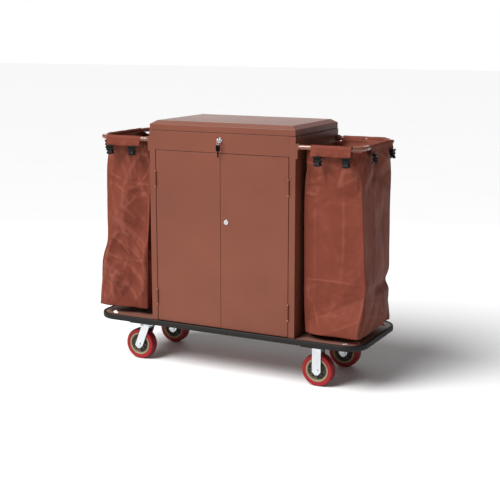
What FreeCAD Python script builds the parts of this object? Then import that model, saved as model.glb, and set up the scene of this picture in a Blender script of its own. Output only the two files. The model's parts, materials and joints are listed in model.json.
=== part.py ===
import FreeCAD, Part
import Sketcher
import math
import os
import re

# Housekeeping cart. Millimetres. +X along the cart to the right end, +Y to the back, +Z up.
# The origin is on the floor under the middle of the deck; the doors face -Y.

SIZES = {
    # deck
    "deck_length": 1380, "deck_width": 504, "deck_top": 224, "deck_corner": 100,
    "deck_sheet": 2, "deck_skirt": 24, "bumper_wall": 12, "bumper_band": 26, "bumper_rise": 2,
    "slot_length": 84, "slot_width": 20, "slot_in_x": 58, "slot_in_y": 54,
    "member_width": 120, "member_wall": 3, "member_lip": 18,
    # cabinet
    "cabinet_width": 740, "cabinet_depth": 478, "cabinet_top": 1124, "sheet": 1.5,
    "stile_width": 30, "stile_return": 18, "back_wrap": 32, "lip": 15, "seam": 0.5,
    "rail_height": 88, "rail_ledge": 35, "floor_lip": 15,
    "shelf_low": 500, "shelf_high": 775, "shelf_setback": 44, "shelf_hem": 22,
    # doors and their hinges
    "door_depth": 18, "door_sheet": 1.2, "door_gap": 1.5, "hinge_gap": 3, "door_top_gap": 2.5,
    "door_floor_gap": 4.5, "hinge_height": 68, "hinge_low": 342, "hinge_high": 902,
    "hinge_leaf": 1.2, "hinge_knuckle": 3.5, "hinge_pin": 1.75, "hinge_stand": 4,
    "catch_width": 44, "catch_height": 18, "catch_depth": 14, "catch_at": 70,
    # locks
    "lock_flange": 11, "lock_barrel": 9, "lock_plug": 6, "lock_flange_depth": 3,
    "lock_length": 21.5, "lid_lock_drop": 31, "door_lock_at": 30, "door_lock_height": 725,
    "cam_length": 26, "door_cam_length": 44, "cam_width": 12, "cam_sheet": 2.5, "fit": 0.05,
    "key_bow": 22, "key_reach": 23, "key_sheet": 2, "ring_radius": 11, "ring_wire": 0.8,
    "head_height": 30, "head_width": 19, "head_depth": 4, "catch_gap": 0.5,
    "key_eye_in": 6, "key_blade": 7, "key_shank": 38, "hook_near": 12, "hook_far": 34,
    "hook_sheet": 2, "hook_clear": 1.2, "hole_play": 0.2, "slot_half": 4.2,
    # lid
    "lid_inset": 2, "lid_rim": 27, "lid_chamfer": 16, "lid_slope": 25.5, "lid_gap": 1.5,
    "buffer_radius": 5, "buffer_in": 90, "lid_knuckle": 4, "lid_pin": 2, "lid_hinge_length": 660,
    "lid_leaf": 1.2, "lid_leaf_drop": 24,
    # bag frames and bags
    "tube_radius": 11, "tube_wall": 1.5, "tube_height": 1080, "tube_half_width": 228,
    "tube_end": 660, "tube_bend": 70, "bracket_wing": 9, "bracket_height": 66,
    "collar_radius": 15, "collar_length": 13, "bracket_drop": 18, "bracket_inset": 20,
    "rivet_head": 3.6, "rivet_rise": 2, "rivet_low": 40, "rivet_high": 26,
    "bag_inner": 382, "bag_outer": 652, "bag_half_depth": 188, "bag_bottom": 252,
    "bag_cloth": 2.5, "shoulder_drop": 100, "bag_room": 0.6, "bag_corner": 14,
    "flap_drop": 52, "flap_near": 430, "flap_far": 606, "flap_end": 138,
    "clip_width": 34, "clip_height": 36, "clip_depth": 12, "clip_inset": 28,
    # casters
    "wheel_radius": 75, "tread_width": 46, "rim_radius": 54, "hub_radius": 19, "hub_width": 50,
    "web_width": 14, "rim_wall": 5, "axle_radius": 6, "hub_play": 1,
    "fork_rise": 117, "fixed_at": 457, "swivel_at": 444, "caster_half_track": 159,
    "trail": 40, "plate_length": 110, "plate_width": 90, "plate_sheet": 3,
    "leg_width": 42, "leg_sheet": 4, "leg_tip": 21, "race_radius": 33, "race_height": 9,
    "race_gap": 0.5, "kingpin_radius": 6, "bolt_radius": 4, "bolt_play": 0.4,
    "bolt_pitch_x": 84, "bolt_pitch_y": 62, "bolt_head": 6.5, "bolt_head_depth": 5,
    "axle_head": 10, "axle_head_depth": 5, "axle_nut": 9.5, "axle_nut_depth": 6, "axle_tail": 9,
    "kingpin_head": 10,
}

doc = FreeCAD.newDocument("housekeeping_cart")
sheet = doc.addObject("Spreadsheet::Sheet", "sizes")
for row, (alias, value) in enumerate(SIZES.items(), start=1):
    sheet.set(f"A{row}", alias)
    sheet.set(f"B{row}", str(value))
    sheet.setAlias(f"B{row}", alias)
doc.recompute()

X_AXIS = FreeCAD.Vector(1, 0, 0)
Y_AXIS = FreeCAD.Vector(0, 1, 0)
Z_AXIS = FreeCAD.Vector(0, 0, 1)
TURNS = {
    "Z": FreeCAD.Rotation(),
    "X": FreeCAD.Rotation(Y_AXIS, 90),
    "Y": FreeCAD.Rotation(X_AXIS, -90),
}
FACES = ((-1, "front"), (1, "rear"))
SIDES = ((-1, "left"), (1, "right"))
CASTER_TOP = "(wheel_radius + fork_rise)"  # where the casters' plates meet the deck's members
BAG_SHOULDER = "(tube_height - shoulder_drop)"  # where a bag starts to narrow up to its frame
nodes = []
names_used = {}


# ---- helpers: every size goes through the sheet -------------------------------------------------

def formula(text):
    """An expression for FreeCAD in which each size's name reads its cell in the sheet."""
    text = str(text)
    return re.sub(r"[a-z][a-z_0-9]*", lambda word: f"sizes.{word.group()}" if word.group() in SIZES
                  else word.group(), text)


def bind(thing, **properties):
    for name, text in properties.items():
        thing.setExpression(name, formula(text))
    return thing


def fresh(kind, name):
    names_used[name] = names_used.get(name, 0) + 1
    return doc.addObject(kind, f"{name}_{names_used[name]}" if names_used[name] > 1 else name)


def put(thing, at, turn="Z"):
    """Turn a thing so that its own Z lies along the named axis, and put its origin at a point."""
    thing.Placement = FreeCAD.Placement(FreeCAD.Vector(), TURNS[turn])
    for letter, text in zip("xyz", at):
        thing.setExpression(f"Placement.Base.{letter}", formula(text))
    return thing


def slab(name, x, y, z):
    """A box between a low and a high value along each axis."""
    box = fresh("Part::Box", name)
    spans = [f"({high}) - ({low})" for low, high in (x, y, z)]
    bind(box, Length=spans[0], Width=spans[1], Height=spans[2])
    return put(box, [low for low, high in (x, y, z)])


def rod(name, radius, length, at, turn="Z"):
    """A cylinder that starts at a point and runs along an axis."""
    return put(bind(fresh("Part::Cylinder", name), Radius=radius, Height=length), at, turn)


def joined(name, shapes):
    fuse = fresh("Part::MultiFuse", name)
    fuse.Shapes = shapes
    return fuse


def less(name, base, tools):
    """The base with every tool cut out of it."""
    cut = fresh("Part::Cut", name)
    cut.Base = base
    cut.Tool = tools[0] if len(tools) == 1 else joined(f"{name}_tools", tools)
    return cut


def together(name, shapes):
    """Several separate solids that count as one sub-part."""
    group = fresh("Part::Compound", name)
    group.Links = shapes
    return group


def mirrored(name, source, normal):
    mirror = fresh("Part::Mirroring", name)
    mirror.Source = source
    mirror.Normal = normal
    return mirror


def node(thing, label):
    thing.Label = label
    nodes.append(thing)
    return thing


def side_span(side, low, high):
    """A span on the right side of the cart, or the same one on the left."""
    return (low, high) if side > 0 else (f"-({high})", f"-({low})")


def plane_sketch(body, plane, offset="0"):
    sketch = body.newObject("Sketcher::SketchObject", f"{body.Name}_sketch")
    origin_plane = [part for part in body.Origin.OriginFeatures if part.Role == plane][0]
    sketch.AttachmentSupport = (origin_plane, [""])
    sketch.MapMode = "FlatFace"
    sketch.setExpression("AttachmentOffset.Base.z", formula(offset))
    return sketch


def number(text):
    """What a formula comes to, worked out in a spare cell of the sheet."""
    sheet.set("D1", f"={text}")
    sheet.recompute()
    return float(sheet.get("D1"))


def measure(sketch, text, kind, *place):
    """A dimension that reads a formula, and starts at what the formula comes to."""
    index = sketch.addConstraint(Sketcher.Constraint(kind, *place, number(text)))
    sketch.setExpression(f"Constraints[{index}]", formula(text))


def pin_point(sketch, element, end, x, y):
    measure(sketch, x, "DistanceX", -1, 1, element, end)
    measure(sketch, y, "DistanceY", -1, 1, element, end)


def outline(sketch, points):
    """A closed outline of straight lines, each corner held by two dimensions."""
    count = len(points)
    corners = [FreeCAD.Vector(math.cos(2 * math.pi * i / count), math.sin(2 * math.pi * i / count), 0)
               for i in range(count)]
    for i in range(count):
        sketch.addGeometry(Part.LineSegment(corners[i], corners[(i + 1) % count]), False)
    for i in range(count):
        sketch.addConstraint(Sketcher.Constraint("Coincident", i, 2, (i + 1) % count, 1))
    for i, (x, y) in enumerate(points):
        pin_point(sketch, i, 1, x, y)


def quarter_arc(x, y, radius, start):
    """A quarter circle about a centre, from a start angle in degrees."""
    circle = Part.Circle(FreeCAD.Vector(x, y, 0), Z_AXIS, radius)
    return Part.ArcOfCircle(circle, math.radians(start), math.radians(start + 90))


def round_outline(sketch, x, y, radius):
    """A rectangle between two spans with round corners: arcs 0 to 3, then lines 4 to 7."""
    bend = number(radius)
    low_x, high_x = number(x[0]) + bend, number(x[1]) - bend
    low_y, high_y = number(y[0]) + bend, number(y[1]) - bend
    arcs = [quarter_arc(high_x, low_y, bend, -90), quarter_arc(high_x, high_y, bend, 0),
            quarter_arc(low_x, high_y, bend, 90), quarter_arc(low_x, low_y, bend, 180)]
    for arc in arcs:
        sketch.addGeometry(arc, False)
    for i in range(4):
        line = Part.LineSegment(arcs[i].EndPoint, arcs[(i + 1) % 4].StartPoint)
        sketch.addGeometry(line, False)
    for i in range(4):
        sketch.addConstraint(Sketcher.Constraint("Tangent", i, 2, 4 + i, 1))
        sketch.addConstraint(Sketcher.Constraint("Tangent", 4 + i, 2, (i + 1) % 4, 1))
    for line, kind in ((4, "Vertical"), (5, "Horizontal"), (6, "Vertical"), (7, "Horizontal")):
        sketch.addConstraint(Sketcher.Constraint(kind, line))
    for arc in (1, 2, 3):
        sketch.addConstraint(Sketcher.Constraint("Equal", 0, arc))
    measure(sketch, radius, "Radius", 0)
    measure(sketch, y[0], "DistanceY", -1, 1, 7, 1)
    measure(sketch, y[1], "DistanceY", -1, 1, 5, 1)
    measure(sketch, x[0], "DistanceX", -1, 1, 6, 1)
    measure(sketch, x[1], "DistanceX", -1, 1, 4, 1)


def pad(body, sketch, length):
    feature = body.newObject("PartDesign::Pad", f"{body.Name}_pad")
    feature.Profile = sketch
    bind(feature, Length=length)
    return feature


def plate(name, plane, points, span):
    """An outline pushed out along the plane's normal between the two values of the span."""
    body = fresh("PartDesign::Body", name)
    low, high = span
    start = f"-({high})" if plane == "XZ_Plane" else low
    sketch = plane_sketch(body, plane, start)
    outline(sketch, points)
    pad(body, sketch, f"({high}) - ({low})")
    return body


def round_block(name, x, y, z, radius):
    """An upright block with round corners."""
    body = fresh("PartDesign::Body", name)
    sketch = plane_sketch(body, "XY_Plane", z[0])
    round_outline(sketch, x, y, radius)
    pad(body, sketch, f"({z[1]}) - ({z[0]})")
    return body


def turned(name, points, at, turn="Z"):
    """A profile of radius and height turned about its own height axis."""
    body = fresh("PartDesign::Body", name)
    sketch = plane_sketch(body, "XZ_Plane")
    outline(sketch, points)
    feature = body.newObject("PartDesign::Revolution", f"{body.Name}_turn")
    feature.Profile = sketch
    feature.ReferenceAxis = (sketch, ["V_Axis"])
    feature.Angle = 360
    return put(body, at, turn)


# ---- deck -------------------------------------------------------------------------------------

tray_x = ("-(deck_length / 2 - bumper_wall)", "deck_length / 2 - bumper_wall")
tray_y = ("-(deck_width / 2 - bumper_wall)", "deck_width / 2 - bumper_wall")
under_deck = "deck_top - deck_sheet"


def inset(span, by):
    return (f"{span[0]} + {by}", f"{span[1]} - ({by})")


def corner_slots():
    """Four cutters that cross the deck's corners at 45 degrees."""
    cutters = []
    for along, across in ((-1, -1), (1, -1), (1, 1), (-1, 1)):
        cutter = round_block("slot_cutter", ("-slot_length / 2", "slot_length / 2"),
                             ("-slot_width / 2", "slot_width / 2"), ("deck_top - 3 * deck_sheet",
                             "deck_top + deck_sheet"), "slot_width / 2 - 0.5")
        put(cutter, (f"{along} * (deck_length / 2 - bumper_wall - slot_in_x)",
                     f"{across} * (deck_width / 2 - bumper_wall - slot_in_y)", "0"))
        cutter.Placement.Rotation = FreeCAD.Rotation(Z_AXIS, -45 * along * across)
        cutters.append(cutter)
    return cutters


def make_deck():
    block = round_block("tray_block", tray_x, tray_y, ("deck_top - deck_skirt", "deck_top"),
                        "deck_corner - bumper_wall")
    hollow = round_block("tray_hollow", inset(tray_x, "deck_sheet"), inset(tray_y, "deck_sheet"),
                         ("deck_top - deck_skirt - 1", under_deck),
                         "deck_corner - bumper_wall - deck_sheet")
    node(less("deck_tray", block, [hollow] + corner_slots()), "deck_tray")

    top = "deck_top + bumper_rise"
    band = round_block("bumper_block", ("-deck_length / 2", "deck_length / 2"),
                       ("-deck_width / 2", "deck_width / 2"), (f"{top} - bumper_band", top),
                       "deck_corner")
    level_edges = [f"Edge{i + 1}" for i, edge in enumerate(rebuilt(band).Edges)
                   if edge.BoundBox.ZLength < 0.01]
    soft = band.newObject("PartDesign::Fillet", "bumper_round")
    soft.Base = (band.Group[1], level_edges)
    bind(soft, Radius="bumper_wall * 0.6")
    core = round_block("bumper_core", tray_x, tray_y, (f"{top} - bumper_band - 1", f"{top} + 1"),
                       "deck_corner - bumper_wall")
    node(less("deck_bumper", band, [core]), "deck_bumper")

    base = f"{CASTER_TOP} + member_wall"
    half = "member_width / 2"
    profile = [(f"-({half} + member_lip)", under_deck), (f"-({half} + member_lip)",
               f"{under_deck} - member_wall"), (f"-{half}", f"{under_deck} - member_wall"),
               (f"-{half}", CASTER_TOP), (half, CASTER_TOP),
               (half, f"{under_deck} - member_wall"), (f"{half} + member_lip",
               f"{under_deck} - member_wall"), (f"{half} + member_lip", under_deck),
               (f"{half} - member_wall", under_deck), (f"{half} - member_wall", base),
               (f"-({half} - member_wall)", base), (f"-({half} - member_wall)", under_deck)]
    members = []
    for place in ("-swivel_at", "fixed_at"):
        hat = plate("member_hat", "XZ_Plane", profile, inset(tray_y, "deck_sheet + 4"))
        put(hat, (place, "0", "0"))
        holes = [rod("member_hole", "bolt_radius + bolt_play", "3 * member_wall",
                     (x, y, f"{CASTER_TOP} - member_wall"))
                 for side, _ in FACES
                 for x, y in bolt_places(place, f"{side} * caster_half_track")]
        members.append(less("member", hat, holes))
    node(together("deck_crossmembers", members), "deck_crossmembers")


def rebuilt(thing):
    """The thing's shape once the document is up to date."""
    doc.recompute()
    return thing.Shape


def bolt_places(x, y):
    return [(f"{x} + {i} * bolt_pitch_x / 2", f"{y} + {j} * bolt_pitch_y / 2")
            for i in (-1, 1) for j in (-1, 1)]


# ---- cabinet ----------------------------------------------------------------------------------

half_width = "cabinet_width / 2"
front = "-cabinet_depth / 2"
back = "cabinet_depth / 2"
inner_half = "cabinet_width / 2 - sheet"
opening_half = "cabinet_width / 2 - stile_width"
rear_seam = "cabinet_depth / 2 - back_wrap"
rail_low = "cabinet_top - rail_height"


def make_cabinet():
    side_profile = [(opening_half, f"{front} + stile_return"), (opening_half, front),
                    (half_width, front), (half_width, f"{rear_seam} - seam"),
                    (f"{half_width} - lip", f"{rear_seam} - seam"),
                    (f"{half_width} - lip", f"{rear_seam} - seam - sheet"),
                    (inner_half, f"{rear_seam} - seam - sheet"), (inner_half, f"{front} + sheet"),
                    (f"{opening_half} + sheet", f"{front} + sheet"),
                    (f"{opening_half} + sheet", f"{front} + stile_return")]
    for side, word in SIDES:
        profile = side_profile if side > 0 else [(f"-({x})", y) for x, y in side_profile]
        wall = plate(f"{word}_wall", "XY_Plane", profile, ("deck_top", "cabinet_top"))
        ledge = slab(f"{word}_ledge", side_span(side, f"{half_width} - lip", inner_half),
                     (f"{front} + sheet", f"{rear_seam} - seam - sheet"),
                     ("cabinet_top - sheet", "cabinet_top"))
        node(joined(f"cabinet_{word}_side", [wall, ledge]), f"cabinet_{word}_side")

    right_half = [(f"{half_width} - lip", f"{rear_seam} + sheet"), (f"{half_width} - lip", rear_seam),
                  (half_width, rear_seam), (half_width, back)]
    inner_right = [(inner_half, f"{back} - sheet"), (inner_half, f"{rear_seam} + sheet")]
    wrap = right_half + [(f"-({x})", y) for x, y in reversed(right_half)]
    wrap += [(f"-({x})", y) for x, y in reversed(inner_right)] + inner_right
    node(plate("cabinet_back", "XY_Plane", wrap, ("deck_top", "cabinet_top")), "cabinet_back")

    lip_y = f"{front} + stile_return + sheet"
    floor = notched_sheet("floor_sheet", lip_y, ("deck_top", "deck_top + sheet"))
    floor_lip = slab("floor_front", (f"-({inner_half})", inner_half), (lip_y, f"{lip_y} + sheet"),
                     ("deck_top", "deck_top + floor_lip"))
    node(joined("cabinet_floor", [floor, floor_lip]), "cabinet_floor")

    rail_profile = [(f"{front} + rail_ledge", rail_low), (front, rail_low), (front, "cabinet_top"),
                    (f"{front} + lip", "cabinet_top"), (f"{front} + lip", "cabinet_top - sheet"),
                    (f"{front} + sheet", "cabinet_top - sheet"),
                    (f"{front} + sheet", f"{rail_low} + sheet"),
                    (f"{front} + rail_ledge", f"{rail_low} + sheet")]
    rail = plate("rail", "YZ_Plane", rail_profile, (f"-({opening_half})", opening_half))
    hole = rod("rail_hole", "lock_barrel + hole_play", "5 * sheet",
               ("0", f"{front} - 2 * sheet", "cabinet_top - lid_lock_drop"), "Y")
    node(less("front_rail", rail, [hole]), "front_rail")

    well = notched_sheet("well_sheet", lip_y, (f"{rail_low} + sheet", f"{rail_low} + 2 * sheet"))
    node(well, "well_floor")

    shelf_front = f"{front} + shelf_setback"
    shelf_back = f"{rear_seam} - seam - 2 * sheet"
    for height, label in (("shelf_low", "lower_shelf"), ("shelf_high", "upper_shelf")):
        profile = [(shelf_front, f"{height} - shelf_hem"), (shelf_front, height),
                   (shelf_back, height), (shelf_back, f"{height} - shelf_hem"),
                   (f"{shelf_back} - sheet", f"{height} - shelf_hem"),
                   (f"{shelf_back} - sheet", f"{height} - sheet"),
                   (f"{shelf_front} + sheet", f"{height} - sheet"),
                   (f"{shelf_front} + sheet", f"{height} - shelf_hem")]
        node(plate(label, "YZ_Plane", profile, (f"-({inner_half})", inner_half)), label)

    catches = []
    for side, _ in SIDES:
        middle = f"{side} * catch_at"
        catches.append(slab("catch", (f"{middle} - catch_width / 2", f"{middle} + catch_width / 2"),
                            (f"{front} + door_depth + catch_gap",
                             f"{front} + door_depth + catch_gap + catch_depth"),
                            (f"{rail_low} - catch_height", rail_low)))
    node(together("magnetic_catches", catches), "magnetic_catches")


def notched_sheet(name, front_edge, span):
    """A level sheet inside the cabinet, notched round the folds at its rear corners."""
    notch_x = f"{half_width} - lip - seam"
    notch_y = f"{rear_seam} - seam - 2 * sheet"
    right = [(inner_half, front_edge), (inner_half, notch_y), (notch_x, notch_y),
             (notch_x, f"{back} - sheet")]
    return plate(name, "XY_Plane", right + [(f"-({x})", y) for x, y in reversed(right)], span)


# ---- doors ------------------------------------------------------------------------------------

hinge_x = f"{opening_half} - hinge_gap / 2"
hinge_y = f"{front} - hinge_stand"
door_low = "deck_top + door_floor_gap"
door_high = f"{rail_low} - door_top_gap"
KNUCKLES = 5
KNUCKLE_GAP = "0.4"


def knuckle_span(middle, index):
    """Height span of one knuckle of a door hinge, counted from the bottom."""
    pitch = f"hinge_height / {KNUCKLES}"
    low = f"{middle} - hinge_height / 2 + {index} * {pitch}"
    return (f"{low} + {KNUCKLE_GAP} / 2", f"{low} + {pitch} - {KNUCKLE_GAP} / 2")


def hinge_leaf(name, side, middle, leaf_x, indices):
    """One leaf of a door hinge with its knuckles, bored for the pin."""
    low, high = leaf_x
    span_x = side_span(side, low, high)
    parts = [slab(f"{name}_leaf", span_x, (f"{front} + 0.5", f"{front} + stile_return - 1"),
                  (f"{middle} - hinge_height / 2", f"{middle} + hinge_height / 2"))]
    for index in indices:
        span_z = knuckle_span(middle, index)
        parts.append(slab(f"{name}_web", span_x, (hinge_y, f"{front} + 0.5"), span_z))
        parts.append(rod(f"{name}_knuckle", "hinge_knuckle", f"({span_z[1]}) - ({span_z[0]})",
                         (f"{side} * ({hinge_x})", hinge_y, span_z[0])))
    bore = rod(f"{name}_bore", "hinge_pin + fit", "hinge_height + 2",
               (f"{side} * ({hinge_x})", hinge_y, f"{middle} - hinge_height / 2 - 1"))
    return less(name, joined(f"{name}_solid", parts), [bore])


def make_doors():
    fixed_leaves = []
    pins = []
    frame_leaf_x = (f"{opening_half} - hinge_leaf", opening_half)
    door_leaf_x = (f"{opening_half} - hinge_gap", f"{opening_half} - hinge_gap + hinge_leaf")
    for side, word in SIDES:
        edge = f"{opening_half} - hinge_gap"
        door_x = side_span(side, "door_gap / 2", edge)
        skin = slab(f"{word}_door_block", door_x, (front, f"{front} + door_depth"),
                    (door_low, door_high))
        hollow = slab(f"{word}_door_hollow", side_span(side, "door_gap / 2 + door_sheet",
                      f"{edge} - door_sheet"), (f"{front} + door_sheet", f"{front} + door_depth + 1"),
                      (f"{door_low} + door_sheet", f"{door_high} - door_sheet"))
        tools = [hollow]
        if side > 0:
            tools.append(rod("door_lock_hole", "lock_barrel + hole_play", "5 * door_sheet",
                             ("door_lock_at", f"{front} - 2 * door_sheet", "door_lock_height"), "Y"))
        node(less(f"{word}_door", skin, tools), f"{word}_door")
        door_leaves = []
        for place in ("hinge_low", "hinge_high"):
            fixed_leaves.append(hinge_leaf("frame_leaf", side, place, frame_leaf_x, (0, 2, 4)))
            door_leaves.append(hinge_leaf("door_leaf", side, place, door_leaf_x, (1, 3)))
            at = (f"{side} * ({hinge_x})", hinge_y, f"{place} - hinge_height / 2 - 4")
            pin = rod("pin", "hinge_pin", "hinge_height + 8", at)
            tips = [rod("pin_tip", "hinge_pin + 1.2", "4 - 0.3", at),
                    rod("pin_tip", "hinge_pin + 1.2", "4 - 0.3",
                        (at[0], at[1], f"{place} + hinge_height / 2 + 0.3"))]
            pins.append(joined("hinge_pin_whole", [pin] + tips))
        node(together(f"{word}_door_leaves", door_leaves), f"{word}_door_hinge_leaves")
    node(together("frame_leaves", fixed_leaves), "frame_hinge_leaves")
    node(together("door_pins", pins), "door_hinge_pins")


# ---- locks ------------------------------------------------------------------------------------

LOCK_Z = "cabinet_top - lid_lock_drop"
lock_face = f"{front} - lock_flange_depth"
cam_y = (f"{lock_face} + lock_length + 0.3", f"{lock_face} + lock_length + 0.3 + cam_sheet")
RING_TURN = FreeCAD.Rotation(Z_AXIS, -40)


def lock(prefix, x, z, cam):
    """A cam lock through a sheet: barrel, plug and cam. The cam's tip is at the given height."""
    barrel = turned(f"{prefix}_barrel_solid",
                    [("lock_plug + fit", "0"), ("lock_flange", "0"),
                     ("lock_flange", "lock_flange_depth"), ("lock_barrel", "lock_flange_depth"),
                     ("lock_barrel", "lock_length"), ("lock_plug + fit", "lock_length")],
                    (x, lock_face, z), "Y")
    node(barrel, f"{prefix}_barrel")
    plug = rod(f"{prefix}_plug_rod", "lock_plug", "lock_length + 0.5", (x, f"{lock_face} - 0.5", z), "Y")
    tail = rod(f"{prefix}_plug_tail", "lock_plug / 2", "cam_sheet + 2",
               (x, f"{lock_face} + lock_length", z), "Y")
    key_slot = slab(f"{prefix}_key_slot", (f"{x} - 1.2", f"{x} + 1.2"),
                    (f"{lock_face} - 2", f"{lock_face} + 12"),
                    (f"{z} - slot_half", f"{z} + slot_half"))
    node(less(f"{prefix}_plug_cut", joined(f"{prefix}_plug_solid", [plug, tail]), [key_slot]),
         f"{prefix}_plug")
    strip = slab(f"{prefix}_cam_strip", (f"{x} - cam_width / 2", f"{x} + cam_width / 2"), cam_y, cam)
    boss = rod(f"{prefix}_cam_boss", "cam_width / 2 + 1", "cam_sheet", (x, cam_y[0], z), "Y")
    eye = rod(f"{prefix}_cam_eye", "lock_plug / 2 + fit", "3 * cam_sheet",
              (x, f"{cam_y[0]} - cam_sheet", z), "Y")
    node(less(f"{prefix}_cam_cut", joined(f"{prefix}_cam_solid", [strip, boss]), [eye]),
         f"{prefix}_cam")


def hang(thing, drop):
    """Hang a thing below the key's eye, square to the ring, which is turned a little to the right."""
    put(thing, ("0", f"{lock_face} - key_reach + key_eye_in", f"{LOCK_Z} - ({drop})"), "X")
    thing.Placement.Rotation = RING_TURN * TURNS["X"]
    return thing


def make_locks():
    lock("lid_lock", "0", LOCK_Z, (LOCK_Z, f"{LOCK_Z} + cam_length"))
    lock("door_lock", "door_lock_at", "door_lock_height",
         ("door_lock_height - door_cam_length", "door_lock_height"))

    hole_y = f"{lock_face} - key_reach + key_eye_in"
    blade = slab("key_blade", ("-key_sheet / 2", "key_sheet / 2"),
                 (f"{lock_face} - 6", f"{lock_face} + 11"),
                 (f"{LOCK_Z} - key_blade / 2", f"{LOCK_Z} + key_blade / 2"))
    bow = rod("key_bow_disc", "key_bow / 2", "key_sheet",
              ("-key_sheet / 2", f"{lock_face} - key_reach + key_bow / 2", LOCK_Z), "X")
    eye = rod("key_eye", "3", "3 * key_sheet", ("-1.5 * key_sheet", hole_y, LOCK_Z), "X")
    node(less("lid_key_cut", joined("lid_key_solid", [blade, bow]), [eye]), "lid_key")

    ring = fresh("Part::Torus", "key_ring_torus")
    bind(ring, Radius1="ring_radius", Radius2="ring_wire")
    put(ring, ("0", hole_y, f"{LOCK_Z} - ring_radius"), "Y")
    ring.Placement.Rotation = RING_TURN * TURNS["Y"]
    node(ring, "key_ring")

    head = round_block("spare_head", ("-head_height / 2", "head_height / 2"),
                       ("-head_width / 2", "head_width / 2"),
                       ("-head_depth / 2", "head_depth / 2"), "head_width / 2 - 2.5")
    hang(head, "2 * ring_radius + head_height / 2 - 4")
    shank = round_block("spare_shank", ("0", "key_shank"), ("-key_blade / 2", "key_blade / 2"),
                        ("-key_sheet / 2", "key_sheet / 2"), "1")
    hang(shank, "2 * ring_radius + head_height / 2")
    eyes = [hang(bind(fresh("Part::Cylinder", "spare_eye"), Radius="2.5", Height="9"),
                 "2 * ring_radius + 0.2") for _ in FACES]
    eyes[1].Placement.Rotation = RING_TURN * FreeCAD.Rotation(Y_AXIS, -90)
    node(less("spare_key_cut", joined("spare_key_solid", [head, shank]), eyes), "spare_key")


# ---- lid --------------------------------------------------------------------------------------

lid_low = "cabinet_top + lid_gap"
lid_hinge_y = f"{back} + lid_knuckle"
lid_hinge_z = "cabinet_top + lid_gap / 2"
LID_KNUCKLES = 7


def lid_block(name, wall, bottom, top_drop):
    """The lid's outer or inner shape: an upright rim with a sloped border above it."""
    x = f"cabinet_width / 2 - lid_inset - {wall}"
    y = f"cabinet_depth / 2 - lid_inset - {wall}"
    shoulder = f"{lid_low} + lid_rim - {wall} / 3"
    rim = slab(f"{name}_rim", (f"-({x})", x), (f"-({y})", y), (bottom, shoulder))
    slope = fresh("Part::Wedge", f"{name}_slope")
    bind(slope, Xmin=f"-({x})", Xmax=x, Zmin=f"-({y})", Zmax=y, Ymin=shoulder,
         Ymax=f"{lid_low} + lid_rim + lid_chamfer - {top_drop}",
         X2min=f"-({x} - lid_slope)", X2max=f"{x} - lid_slope",
         Z2min=f"-({y} - lid_slope)", Z2max=f"{y} - lid_slope")
    slope.Placement.Rotation = FreeCAD.Rotation(X_AXIS, 90)
    return joined(name, [rim, slope])


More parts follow.
